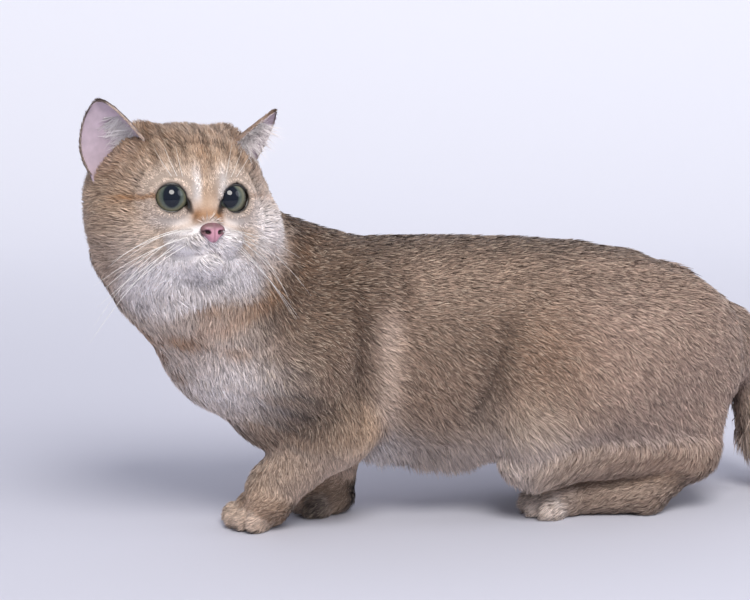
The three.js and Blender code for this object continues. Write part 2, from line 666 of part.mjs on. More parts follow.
const bodySkin = net(whole, body.box.clone().union(neck.box).union(legMasses.hindfoot_left.box)
  .union(legMasses.hindfoot_right.box).expandByScalar(15), 15);
for (const side of Object.keys(SIDES)) {
  const [f, h] = [FORELEG[side], HINDLEG[side]];
  const out = -SIDES[side];
  const forepaw = limb([f.toes[0], f.toes[1], 6], [f.wrist[0], f.wrist[1], 14], 24, 22);
  const forearm = limb([f.elbow[0] - 4, f.elbow[1], 55], f.wrist, 33, 28);
  const shoulder = egg([f.shoulder[0] + 14, f.shoulder[1] + out * 14, 106], [44, 42, 62], [0, 26, 0]);
  const middle = (h.toes[0] + h.hock[0]) / 2;
  const hindpaw = limb([h.toes[0] - 6, h.toes[1], 4], [h.toes[0] + 8, h.toes[1], 6], 25, 25);
  const hock = block([middle - 4, out * 25, 10], [170, 49, 50], [0, -12, 0]);
  const shank = block([middle - 6, out * 36, 24], [166, 72, 62], [0, -12, 0]);
  const thigh = egg([h.hip[0] - 38, h.knee[1] + out * 8, 88], [92, 48, 60], [0, 10, 0]);
  const [, fore] = cutOut(`forepaw_${side}`, skinRound(forepaw, 5.6), forepaw);
  add('gold', [`forepaw_${side}`, largest(less(fore, ...clefts(f.toes, f.point)))]);
  add('back', cutOut(`forearm_${side}`, skinRound(forearm, 10), forearm));
  add('back', cutOut(`shoulder_${side}`, bodySkin, shoulder));
  const [, hind] = cutOut(`hindpaw_${side}`, skinRound(hindpaw, 5.6), hindpaw);
  add('gold', [`hindpaw_${side}`, largest(less(hind, ...clefts(h.toes, h.point)))]);
  add('gold', cutOut(`hock_${side}`, skinRound(hock, 8.5), hock));
  add('back', cutOut(`shank_${side}`, skinRound(shank, 9.5), shank));
  add('back', cutOut(`thigh_${side}`, bodySkin, thigh));
}
const TAIL_CUTS = [3, 6, 10, 15, TAIL_STEPS];
['tail_root', 'tail_bend', 'tail_middle', 'tail_tip'].forEach((name, i) => {
  const [from, to] = [TAIL_CUTS[i], TAIL_CUTS[i + 1]].map((n) => tailCurve.getPoint(n / TAIL_STEPS).toArray());
  const reach = limb(from, to, 26, 26);
  add('back', cutOut(name, skinRound(reach, 10), reach));
});

const eyes = Object.fromEntries(Object.keys(SIDES).map((side) => [side, eyeBall(SIDES[side], EYE_RADIUS)]));
const eyeHoles = Object.values(SIDES).map((s) => eyeHole(s).solid(0));

add('nose', ['nose', largest(net(noseMass.d, noseMass.box, 2.4).subtract(nostrils.solid(0)))]);
taken.push(net((x, y, z) => noseMass.d(x, y, z) - GAP, noseMass.box.clone().expandByScalar(1), 2.4));
const jawReach = inHead(egg([0, -32, -31], [15, 18, 9.5]));
const muzzleReach = inHead(egg([0, -38, -13.5], [18, 30, 12.5]));
const headReach = inHead(egg([0, 3, -1], [60, 57, 49]));
const neckReach = block([-139, 0, 208], [320, 300, 200], [0, -38, 0]);
const faceSkin = skinRound({ box: muzzleReach.box.clone().union(jawReach.box) }, 4.4);
const [, jaw] = cutOut('jaw', faceSkin, jawReach);
const [, muzzle] = cutOut('muzzle', faceSkin, muzzleReach);
const [, skull] = cutOut('head', skinRound(headReach, 8.2), headReach);
const lids = Object.values(SIDES).map(lidRing).reduce((a, b) => a.add(b));
const lidsAlone = less(lids, ...taken.slice(0, -1));
const lips = mouthLine.solid(0);
add('pale', ['jaw', largest(jaw.subtract(lips))]);
add('pale', ['muzzle', largest(less(muzzle, lips, ...eyeHoles))]);
add('gold', ['head', largest(less(skull, ...eyeHoles).add(lidsAlone))]);
for (const side of Object.keys(SIDES)) add('eye', [`eye_${side}`, eyes[side]]);

const headRoom = net((x, y, z) => whole(x, y, z) - GAP, headReach.box.clone().expandByScalar(8.2), 8.2);
for (const side of Object.keys(SIDES)) {
  add('gold', [`ear_${side}`, largest(earSolid(side).subtract(headRoom))]);
}

add('gold', cutOut('neck', bodySkin, neckReach));
add('back', trunkNode('chest', -200, CHEST_END));
add('back', trunkNode('loin', CHEST_END + GAP, LOIN_END));
add('back', trunkNode('rump', LOIN_END + GAP, 300));

const cat = new THREE.Group();
for (const [name, made, material] of nodes) {
  const mesh = new THREE.Mesh(geometryOf(made), MATERIALS[material]);
  mesh.name = name;
  cat.add(mesh);
}

// The part stands with the middle of its box over the origin.
const middle = new THREE.Box3().setFromObject(cat).getCenter(new THREE.Vector3());
cat.position.set(-middle.x, -middle.y, 0);

export default cat;
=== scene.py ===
# Munchkin cat, life size: skin, coat, eyes, nose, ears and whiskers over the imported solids, in a pale studio.
# Blender works in metres. The cat's own numbers are millimetres, in the frame that the solids were drawn in,
# before they were set with the middle of their box over the origin.
from types import SimpleNamespace

import bpy
import numpy as np
from mathutils import Matrix, Vector


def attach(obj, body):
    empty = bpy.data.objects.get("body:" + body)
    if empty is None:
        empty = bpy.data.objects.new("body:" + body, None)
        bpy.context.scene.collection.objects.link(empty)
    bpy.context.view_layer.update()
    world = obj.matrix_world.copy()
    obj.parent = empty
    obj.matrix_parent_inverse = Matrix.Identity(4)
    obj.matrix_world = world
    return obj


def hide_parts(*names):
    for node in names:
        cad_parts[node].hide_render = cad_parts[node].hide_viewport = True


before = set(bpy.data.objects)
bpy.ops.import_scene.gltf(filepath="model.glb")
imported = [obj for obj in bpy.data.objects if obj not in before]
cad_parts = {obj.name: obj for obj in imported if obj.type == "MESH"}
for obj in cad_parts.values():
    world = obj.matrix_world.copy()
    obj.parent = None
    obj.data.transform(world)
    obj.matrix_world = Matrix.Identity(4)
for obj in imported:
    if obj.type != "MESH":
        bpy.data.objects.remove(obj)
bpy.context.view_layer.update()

MIDDLE = np.array([108.4896, -12.381, 0.0])      # the middle of the solids' box, in the cat's own numbers
MM = 0.001
SIDES = {"left": 1, "right": -1}                # the cat's own left is -Y in the part and +X in the head
FAR = 60.0                                      # a distance that stands for open space
bpy.context.scene.view_settings.view_transform = "Standard"
rng = np.random.default_rng(11)


def to_part(p):
    """Points of the cat's own numbers, in the part's frame and in metres."""
    return (np.asarray(p, float) - MIDDLE) * MM


# Camera, at the photo's angle: a long lens, low, from the cat's left and a little ahead

LOOK_AT = np.array([0, -10, 130.0])
DISTANCE = 1250.0
AZIMUTH, ELEVATION = np.radians(-14), np.radians(9)
MM_PER_PIXEL = 0.575                            # at the distance of LOOK_AT, in a picture 750 wide
level = np.cos(ELEVATION)
back = np.array([np.sin(AZIMUTH) * level, -np.cos(AZIMUTH) * level, np.sin(ELEVATION)])
right = np.array([np.cos(AZIMUTH), np.sin(AZIMUTH), 0])
camera = bpy.data.objects.new("camera", bpy.data.cameras.new("camera"))
camera.data.lens = DISTANCE / MM_PER_PIXEL * 36 / 750
camera.data.sensor_width = 36
camera.data.clip_end = 20
camera.matrix_world = Matrix.Translation(Vector(to_part(LOOK_AT + back * DISTANCE))) @ Matrix(
    [right, np.cross(back, right), back]).transposed().to_4x4()
bpy.context.scene.collection.objects.link(camera)
bpy.context.scene.camera = camera


# Masses of flesh and coat. Each is (distance, lowest corner, highest corner), negative inside.

def turned(nod, roll, yaw):
    """Rotation by degrees about X, then Y, then Z."""
    a, b, c = np.radians([nod, roll, yaw])
    x = np.array([[1, 0, 0], [0, np.cos(a), -np.sin(a)], [0, np.sin(a), np.cos(a)]])
    y = np.array([[np.cos(b), 0, np.sin(b)], [0, 1, 0], [-np.sin(b), 0, np.cos(b)]])
    z = np.array([[np.cos(c), -np.sin(c), 0], [np.sin(c), np.cos(c), 0], [0, 0, 1]])
    return z @ y @ x


def limb(a, b, ra, rb):
    """A rounded cone between two points."""
    a, b = np.array(a, float), np.array(b, float)
    run = b - a

    def d(p):
        t = np.clip((p - a) @ run / (run @ run), 0, 1)
        return np.linalg.norm(p - a - t[:, None] * run, axis=1) - (ra + t * (rb - ra))
    return d, np.minimum(a, b) - max(ra, rb), np.maximum(a, b) + max(ra, rb)


def egg(at, radii, turn=(0, 0, 0)):
    """An ellipsoid."""
    at, radii, turn = np.array(at, float), np.array(radii, float), turned(*turn)

    def d(p):
        q = (p - at) @ turn / radii
        near = np.linalg.norm(q, axis=1)
        return near * (near - 1) / (np.linalg.norm(q / radii, axis=1) + 1e-9)
    reach = np.sqrt((turn ** 2) @ (radii ** 2))
    return d, at - reach, at + reach


def trunk(stations):
    """The trunk, from stations along X: x, back line, belly line, half width."""
    xs, tops, lows, halves = np.array(stations, float).T

    def d(p):
        x = np.clip(p[:, 0], xs[0], xs[-1])
        i = np.clip(np.searchsorted(xs, x, "right") - 1, 0, len(xs) - 2)
        t = (x - xs[i]) / (xs[i + 1] - xs[i])
        ease = t * t * (3 - 2 * t) * 0.5 + t * 0.5
        top, low, half = (s[i] + ease * (s[i + 1] - s[i]) for s in (tops, lows, halves))
        high = (top - low) / 2
        around = (np.hypot(p[:, 1] / half, (p[:, 2] - (top + low) / 2) / high) - 1) * np.minimum(half, high)
        past = np.abs(p[:, 0] - x)
        return np.where(past > 0, np.hypot(np.maximum(around, 0), past), around)
    return d, np.array([xs[0], -halves.max(), lows.min()]), np.array([xs[-1], halves.max(), tops.max()])


def smooth_min(a, b, k):
    h = np.maximum(k - np.abs(a - b), 0) / k
    return np.minimum(a, b) - h * h * k / 4


def blend(k, *masses):
    """Masses joined one after the other, with fillets about k wide."""
    def d(p):
        total = masses[0][0](p)
        for mass in masses[1:]:
            total = smooth_min(total, mass[0](p), k)
        return total
    return d, np.min([m[1] for m in masses], axis=0), np.max([m[2] for m in masses], axis=0)


HEAD_AT = np.array([-116, -42, 189.6])
HEAD_TURN = turned(-6, 3, 9)


def head_of(p):
    """Points in the head's own frame: +X to the cat's left, -Y forward, +Z up."""
    return (p - HEAD_AT) @ HEAD_TURN


def from_head(q):
    return np.asarray(q, float) @ HEAD_TURN.T + HEAD_AT


def in_head(mass):
    d, low, high = mass
    middle, half = (low + high) / 2, (high - low) / 2
    reach = np.abs(HEAD_TURN) @ half
    return (lambda p: d(head_of(p))), from_head(middle) - reach, from_head(middle) + reach


def pair(at, radii, middle=0):
    """An ellipsoid on each side of a middle line."""
    return [egg([middle + s * at[0], at[1], at[2]], radii) for s in SIDES.values()]


TRUNK = [(-78, 166, 76, 38), (-40, 171, 48, 46), (0, 168, 36, 52), (40, 167, 30, 57), (80, 165, 28, 60),
         (120, 161, 33, 61), (155, 155, 44, 59), (185, 144, 54, 54), (208, 128, 60, 44)]
body = blend(16, trunk(TRUNK), egg([204, 0, 93], [35, 40, 33]), egg([-77, -4, 108], [44, 42, 44]),
             egg([-58, -8, 70], [27, 34, 25]))
neck = blend(14, limb([-113, -29, 160], [-82, -8, 124], 46, 46),
             limb([-100, -18, 172], [-40, 0, 138], 34, 32))
head = in_head(blend(
    8, egg([0, 6, 4], [46, 46, 42]), egg([0, 0, 19], [43, 30, 21.5]),
    *pair([23.5, 1, 29], [14, 13, 16.5]), *pair([27.5, -2, -8], [27, 31, 25]),
    *pair([29, 4, -23], [20, 22, 17]), *pair([35, 12, 6], [17, 20, 24]),
    *pair([15, -12, -20], [21, 22, 15]), egg([0, -13, 16], [33, 18, 19]),
    *pair([18.5, -18.5, 4], [16, 16.5, 15.5])))
MIDLINE = 1.3                                   # how far nose, lips and chin stand to the cat's left
muzzle = in_head(blend(6, limb([0.3, -26, 9], [MIDLINE, -41, -8.3], 7.5, 6.8),
                       *pair([8.4, -35, -15.6], [11, 10.5, 7.8], MIDLINE)))
jaw = in_head(blend(5, egg([MIDLINE, -31.5, -26.5], [9.5, 10, 7.5]),
                    egg([MIDLINE / 2, -18, -26], [15, 16, 9])))
nose_mass = in_head(blend(2, egg([MIDLINE, -47, -11.3], [6.9, 3.6, 4.2]),
                          egg([MIDLINE, -48, -14.6], [2.8, 2.8, 3.2])))

# Tail: points of its middle line, with the coat's radius
TAIL = np.array([(226, 0, 98, 17), (239, 0, 80, 16.5), (244, 1, 58, 15.5), (250, 3, 37, 15),
                 (266, 6, 21, 14.5), (296, 10, 17, 14), (328, 14, 17, 13), (357, 16, 20, 11.5),
                 (380, 16, 27, 9)], float)


def smooth_line(points, steps):
    """A curve through points, evenly spaced in its parameter."""
    points = np.asarray(points, float)
    padded = np.vstack([2 * points[0] - points[1], points, 2 * points[-1] - points[-2]])
    at = np.linspace(0, len(points) - 1 - 1e-9, steps)
    i, t = at.astype(int), (at % 1)[:, None]
    a, b, c, e = (padded[i + n] for n in range(4))
    return 0.5 * (2 * b + (c - a) * t + (2 * a - 5 * b + 4 * c - e) * t ** 2
                  + (3 * b - a - 3 * c + e) * t ** 3)


tail_line = smooth_line(TAIL, 22)
tail = blend(2, *[limb(a[:3], b[:3], a[3], b[3]) for a, b in zip(tail_line[:-1], tail_line[1:])])

# Legs, by their joints
FORELEG = {
    "left": dict(blade=(-14, -28, 132), shoulder=(-50, -33, 96), elbow=(-29, -33, 62), wrist=(-61, -18, 27),
                 toes=(-78, -11), point=22),
    "right": dict(blade=(-12, 28, 132), shoulder=(-44, 32, 96), elbow=(-8, 30, 60), wrist=(-20, 18, 27),
                  toes=(-35, 15), point=8),
}
HINDLEG = {
    "left": dict(hip=(176, -26, 104), knee=(86, -44, 62), shin=(95, -36, 44), hock=(186, -31, 37),
                 toes=(98, -22), point=6),
    "right": dict(hip=(182, 26, 104), knee=(100, 44, 62), shin=(112, 36, 44), hock=(206, 31, 37),
                  toes=(122, 22), point=-6),
}
TOE = dict(long=9.5, half=5.4, high=8, apart=7.8, back=3.5)


def on_paw(at, point, ahead, aside, z):
    c, d = np.cos(np.radians(point)), np.sin(np.radians(point))
    return [at[0] - ahead * c + aside * d, at[1] - ahead * d - aside * c, z]


def toes_of(at, point):
    toes = []
    for row in (-1.5, -0.5, 0.5, 1.5):
        behind = TOE["back"] if abs(row) > 1 else 0
        middle = on_paw(at, point, -behind, row * TOE["apart"], TOE["high"] - 1.6)
        toes.append(egg(middle, [TOE["long"], TOE["half"], TOE["high"]], [0, 0, point + row * 7]))
    return toes


def paw_mass(at, point, pad):
    palm = egg(on_paw(at, point, -pad, 0, 10.6), [pad + 3, 16, 12], [0, 0, point])
    return blend(2, palm, *toes_of(at, point))


legs = {}
for side, out in SIDES.items():
    blade, shoulder, elbow, wrist, toes, point = FORELEG[side].values()
    legs["shoulder_" + side] = blend(8, limb(blade, shoulder, 26, 27), limb(shoulder, elbow, 27, 22))
    legs["forearm_" + side] = limb(elbow, wrist, 21.5, 16)
    legs["forepaw_" + side] = blend(6, paw_mass(toes, point, 13),
                                    egg([wrist[0] - 3, wrist[1] + 1, 18], [14, 14, 12]))
    hip, knee, shin, hock, toes, point = HINDLEG[side].values()
    legs["thigh_" + side] = blend(
        14, limb(hip, knee, 38, 25),
        egg([(hip[0] + knee[0]) / 2 + 6, knee[1] + out * 4, 84], [56, 22, 42], [0, 24, 0]),
        egg([knee[0], knee[1] * 0.9, 36], [24, 16, 16]), limb([hock[0] + 5, hock[1], 78], hock, 23, 17))
    legs["shank_" + side] = limb(shin, hock, 21, 15)
    heel = [hock[0] - 27, hock[1], 12.5]
    legs["hindfoot_" + side] = blend(
        5, limb(heel, [hock[0] - 3, hock[1], hock[2] - 5], 12.5, 13.5),
        limb([toes[0] + 16, toes[1] * 1.02, 12.5], heel, 12, 12.5), paw_mass(toes, point, 12))

WHOLE = [(body, 1), (neck, 16), (head, 16), (muzzle, 7), (jaw, 9), (tail, 10)]
for side in SIDES:
    WHOLE += [(legs[name + side], k) for name, k in (("shoulder_", 12), ("thigh_", 12), ("forearm_", 10),
                                                     ("shank_", 12), ("forepaw_", 6), ("hindfoot_", 4))]

# Eyes: the ball's middle in the head's frame, and how far each looks out to its side
EYE_AT = np.array([16.2, -29.2, 5.5])
EYE_RADIUS = 10.2
EYE_SPLAY = 14.0
EYE_FLAT = 0.90                                 # how much lower than wide the openings are


def eye_frame(s):
    """The eye's own axes in the head's frame, as columns: across, ahead of it -Y, up."""
    return turned(0, 0, s * EYE_SPLAY)


def eye_offsets(q):
    """Points of the head's frame, from the middle of the nearer eye."""
    s = np.where(q[:, :1] > 0, 1, -1)
    return q - EYE_AT * np.concatenate([s, s * s, s * s], 1)


def step(x, low, high):
    t = np.clip((x - low) / (high - low), 0, 1)
    return t * t * (3 - 2 * t)


def fade(x, low, high):
    return 1 - step(x, low, high)


def mix(a, b, t):
    return a + (b - a) * t


def lump(*terms):
    """A soft lump, 1 at its middle. Each term is values, where they are in the middle, and how wide it is."""
    return np.exp(-sum(((values - at) / wide) ** 2 for values, at, wide in terms))


# Where a point lies on the cat: how much it belongs to each stretch of the coat, from 0 to 1

def near(mass, p, far):
    return fade(mass[0](p), 0, far)


def near_legs(part, p, far):
    return np.max([near(legs[part + side], p, far) for side in SIDES], axis=0)


def places(p):
    q = head_of(p)
    x, y, z = p.T
    on = SimpleNamespace(q=q, x=x, y=y, z=z)
    on.head = near(head, p, 14)
    on.muzzle = np.maximum(near(muzzle, p, 4), near(jaw, p, 5))
    on.paw = np.maximum(near_legs("forepaw_", p, 7), near_legs("hindfoot_", p, 7)) * fade(z, 26, 36)
    on.foreleg = near_legs("forearm_", p, 10) * fade(z, 60, 95)
    on.shoulder = near_legs("shoulder_", p, 8)
    on.shank = near_legs("shank_", p, 6) * fade(z, 40, 60)
    on.thigh = near_legs("thigh_", p, 10)
    on.tail = step(x, 226, 244) * near(tail, p, 14)
    on.neck = near(neck, p, 12) * (1 - on.head)
    on.front = fade(x, -100, -50) * fade(z, 130, 170)
    on.back = step(z, 118, 160) * (1 - on.head)
    on.belly = fade(z, 34, 66) * step(x, -60, -20) * fade(x, 170, 200)
    on.eye = fade(np.linalg.norm(eye_offsets(q), axis=1), 12, 19)
    on.fold = folds(p)
    return on


# Where the skin folds in behind the shoulder and before the thigh: x and z down the cat's left flank
FOLDS = {
    "shoulder": [(-26, 150), (-24, 143), (-20, 120), (-18, 98), (-17, 75), (-19, 56)],
    "thigh": [(73, 134), (71, 128), (66, 117), (62, 105), (57, 88), (51, 74), (46, 58)],
}


def folds(p):
    """How near points are to a fold, from 0 to 1."""
    total = np.zeros(len(p))
    for name, line in FOLDS.items():
        xs, zs = np.array(line, float).T
        for s in SIDES.values():
            at = np.interp(p[:, 2], zs[::-1], xs[::-1]) + (0 if s > 0 else 13)
            wide = 5.5 if name == "shoulder" else 6.5
            ends = step(p[:, 2], zs[-1] - 6, zs[-1] + 16) * fade(p[:, 2], zs[0] - 22, zs[0])
            side = step(-s * p[:, 1], 16, 34)
            total = np.maximum(total, lump((p[:, 0], at, wide)) * ends * side)
    return total


def coat_depth(p):
    """How deep the skin lies under the coat's surface."""
    on = places(p)
    depth = 3.6 + 1.0 * on.belly
    over_head = 1.8 + 1.6 * step(np.abs(on.q[:, 0]), 22, 45)
    for place, deep in (("foreleg", 2.4), ("shank", 2.0), ("tail", 4.2), ("head", over_head), ("paw", 0.9),
                        ("muzzle", 0.8), ("eye", 0.6)):
        depth = mix(depth, deep, getattr(on, place))
    q = on.q
    before_ear = lump((q[:, 0], -39, 10), (q[:, 1], -17, 11), (q[:, 2], 31, 9))
    return depth + 3.2 * on.fold + 5 * before_ear * on.head


# The skin: a net over the surface, fine on the face

def steps_along(low, high, fine_low, fine_high, fine, coarse):
    """Grid lines that are close together between fine_low and fine_high."""
    return np.concatenate([np.arange(fine_low - coarse, low - coarse, -coarse)[::-1],
                           np.arange(fine_low, fine_high, fine), np.arange(fine_high, high + coarse, coarse)])


def fill(grid, axes, masses, margin):
    """The masses joined on a grid, each where its box reaches."""
    for (d, low, high), k in masses:
        reach = k + margin
        cut = tuple(slice(max(np.searchsorted(a, start - reach) - 1, 0), np.searchsorted(a, end + reach) + 1)
                    for a, start, end in zip(axes, low, high))
        spots = np.stack(np.meshgrid(*(a[c] for a, c in zip(axes, cut)), indexing="ij"), -1)
        grid[cut] = smooth_min(grid[cut], d(spots.reshape(-1, 3)).reshape(spots.shape[:3]), k)
    return grid


def net(grid, axes):
    """Points and quads of the surface where a grid changes sign, one point to each cell it crosses."""
    spots, rings = [], []
    for axis in range(3):
        u, v = (axis + 1) % 3, (axis + 2) % 3
        ahead = np.swapaxes(grid, 0, axis)
        cross = np.swapaxes((ahead[:-1] < 0) != (ahead[1:] < 0), 0, axis)
        low = np.argwhere(cross)
        low = low[(low[:, u] > 0) & (low[:, v] > 0)]
        high = low + np.eye(3, dtype=int)[axis]
        a, b = grid[tuple(low.T)], grid[tuple(high.T)]
        spot = np.stack([axes[m][low[:, m]] for m in range(3)], 1)
        spot[:, axis] += a / (a - b) * (axes[axis][high[:, axis]] - axes[axis][low[:, axis]])
        eu, ev = np.eye(3, dtype=int)[u], np.eye(3, dtype=int)[v]
        ring = np.stack([np.ravel_multi_index((low + off).T, grid.shape)
                         for off in (-eu - ev, -ev, 0 * eu, -eu)], 1)
        ring[a >= 0] = ring[a >= 0][:, ::-1]
        spots.append(np.repeat(spot, 4, 0))
        rings.append(ring)
    which = np.unique(np.concatenate(rings).ravel(), return_inverse=True)[1]
    spots = np.concatenate(spots)
    count = np.bincount(which)
    points = np.stack([np.bincount(which, spots[:, m]) for m in range(3)], 1) / count[:, None]
    return points, which.reshape(-1, 4)


def neighbours_mean(points, quads):
    a = np.concatenate([quads[:, n] for n in range(4)])
    b = np.concatenate([quads[:, (n + 1) % 4] for n in range(4)])
    total = np.stack([np.bincount(a, points[b, m], len(points)) + np.bincount(b, points[a, m], len(points))
                      for m in range(3)], 1)
    return total / (np.bincount(a, minlength=len(points)) + np.bincount(b, minlength=len(points)))[:, None]


PROBE = 0.3                                     # how far off a slope is measured


def slope(d, p):
    """The gradient of a distance at points, and the distance there."""
    here = d(p)
    return np.stack([d(p + PROBE * e) - here for e in np.eye(3)], 1) / PROBE, here


def unit(v):
    return v / (np.linalg.norm(v, axis=1)[:, None] + 1e-12)


def coat_surface(p):
    """Distance to the coat's outer surface."""
    total = np.full(len(p), FAR)
    for (d, low, high), k in WHOLE:
        near_by = np.all((p > low - k - 8) & (p < high + k + 8), axis=1)
        if near_by.any():
            total[near_by] = smooth_min(total[near_by], d(p[near_by]), k)
    return total


MOUTH = [(0, -43.5, -20.8), (3.2, -42, -22.8), (6.6, -39.5, -24)]
mouth_parts = [limb((MIDLINE, -46, -16), (MIDLINE, *MOUTH[0][1:]), 0.9, 0.9)]
for s in SIDES.values():
    line = [(MIDLINE + s * x, y, z) for x, y, z in MOUTH]
    mouth_parts += [limb(line[0], line[1], 0.9, 0.8), limb(line[1], line[2], 0.8, 0.3)]
mouth = in_head(blend(1, *mouth_parts))


# The inner corners of the eyes run down into small dark hollows
tears = in_head(blend(1, *[limb((s * 10.2, -38.2, 3.4), (s * 7.9, -39.8, -1.6), 1.7, 0.9)
                           for s in SIDES.values()]))
LID = dict(ring=8.5, ahead=6.4, half=1.0)       # the raised lid, a ring round the opening
OPENING, SOCKET = 7.3, 8.6                      # half widths of the hole between the lids and behind them


def eye_parts(p):
    """Lids, eye holes and eyeballs, as distances."""
    lids, holes, balls = (np.full(len(p), FAR) for _ in range(3))
    q = head_of(p)
    for s in SIDES.values():
        e = (q - EYE_AT * [s, 1, 1]) @ eye_frame(s)
        off = np.hypot(e[:, 0] * EYE_FLAT, e[:, 2])
        lids = np.minimum(lids, np.hypot(off - LID["ring"], e[:, 1] + LID["ahead"]) - LID["half"])
        radius = np.linalg.norm(e, axis=1)
        holes = np.minimum(holes, np.where(e[:, 1] < 0, off - OPENING, radius - SOCKET))
        balls = np.minimum(balls, radius - EYE_RADIUS)
    return lids, holes, balls


def carve(total, p):
    """The skin with its lids, eye sockets and the line of the mouth."""
    lids, holes, balls = eye_parts(p)
    q = head_of(p)
    for s in SIDES.values():
        total = -smooth_min(-total, egg([s * 8.8, -43.4, 2.5], [4.2, 4.4, 8.5])[0](q), 3.0)
    total = np.maximum(total, -holes)
    total = smooth_min(total, lids, 3.0)
    total = np.maximum(total, -holes)
    total = np.maximum(total, -tears[0](p))
    total = np.maximum(total, 0.05 - balls)
    return np.maximum(total, -mouth[0](p))


def skin_surface(p):
    return carve(coat_surface(p) + coat_depth(p), p)


FINE, COARSE = 1.0, 2.6                         # the net's cells on the face and elsewhere
DEEPEST = 14                                    # no skin lies deeper under the coat's surface


def make_skin():
    axes = [steps_along(-182, 396, -174, -108, FINE, COARSE), steps_along(-76, 76, -97, -44, FINE, COARSE),
            steps_along(0, 258, 156, 226, FINE, COARSE)]
    grid = fill(np.full([len(a) for a in axes], FAR), axes, WHOLE, 8)
    close = np.abs(grid) < DEEPEST
    index = np.argwhere(close)
    spots = np.stack([axes[m][index[:, m]] for m in range(3)], 1)
    value = grid[close] + coat_depth(spots)
    face = np.linalg.norm(head_of(spots) - [0, -35, -4], axis=1) < 42
    value[face] = carve(value[face], spots[face])
    grid[close] = value
    points, quads = net(grid, axes)
    for _ in range(3):
        points = mix(points, neighbours_mean(points, quads), 0.5)
        g, here = slope(skin_surface, points)
        points -= np.clip(here / np.maximum((g ** 2).sum(1), 0.25), -1.2, 1.2)[:, None] * g
    points[:, 2] = np.maximum(points[:, 2], 0.4)
    return points, quads


# Colours, as sRGB, with what they stand for on the cat

def linear(code):
    c = np.array([code >> 16 & 255, code >> 8 & 255, code & 255]) / 255
    return np.where(c <= 0.04045, c / 12.92, ((c + 0.055) / 1.055) ** 2.4)


COAT = {name: linear(code) for name, code in dict(
    back=0x9C8474, flank=0x927A69, rump=0xAA9183, sand=0xBB9E86, rust=0xA87B55, cream=0xDDCABC,
    white=0xF2ECEC, belly=0xD2C2B9, stripe=0x5A4231, dark=0x3B2E27, sole=0x2E2624, tip_dark=0x372A22,
    tip_light=0xE2CFB8, lip=0x6B4A4A).items()}


def noise(p, size, seed):
    """Smooth noise from -1 to 1, in lumps about `size` across."""
    at = np.asarray(p, float) / size
    cell = np.floor(at).astype(np.int64)
    f = at - cell
    f = f * f * (3 - 2 * f)
    total = np.zeros(len(at))
    for corner in np.ndindex(2, 2, 2):
        c = cell + corner
        n = (c[:, 0] * 73856093) ^ (c[:, 1] * 19349663) ^ (c[:, 2] * 83492791) ^ (seed * 7919 + 101)
        n = (n ^ (n >> 13)) * 1274126177 & 0x7FFFFFFF
        n = (n ^ (n >> 15)) * 668265263 & 0x7FFFFFFF
        weight = np.prod(np.where(corner, f, 1 - f), axis=1)
        total += weight * ((n >> 8 & 0xFFFF) / 32767.5 - 1)
    return total


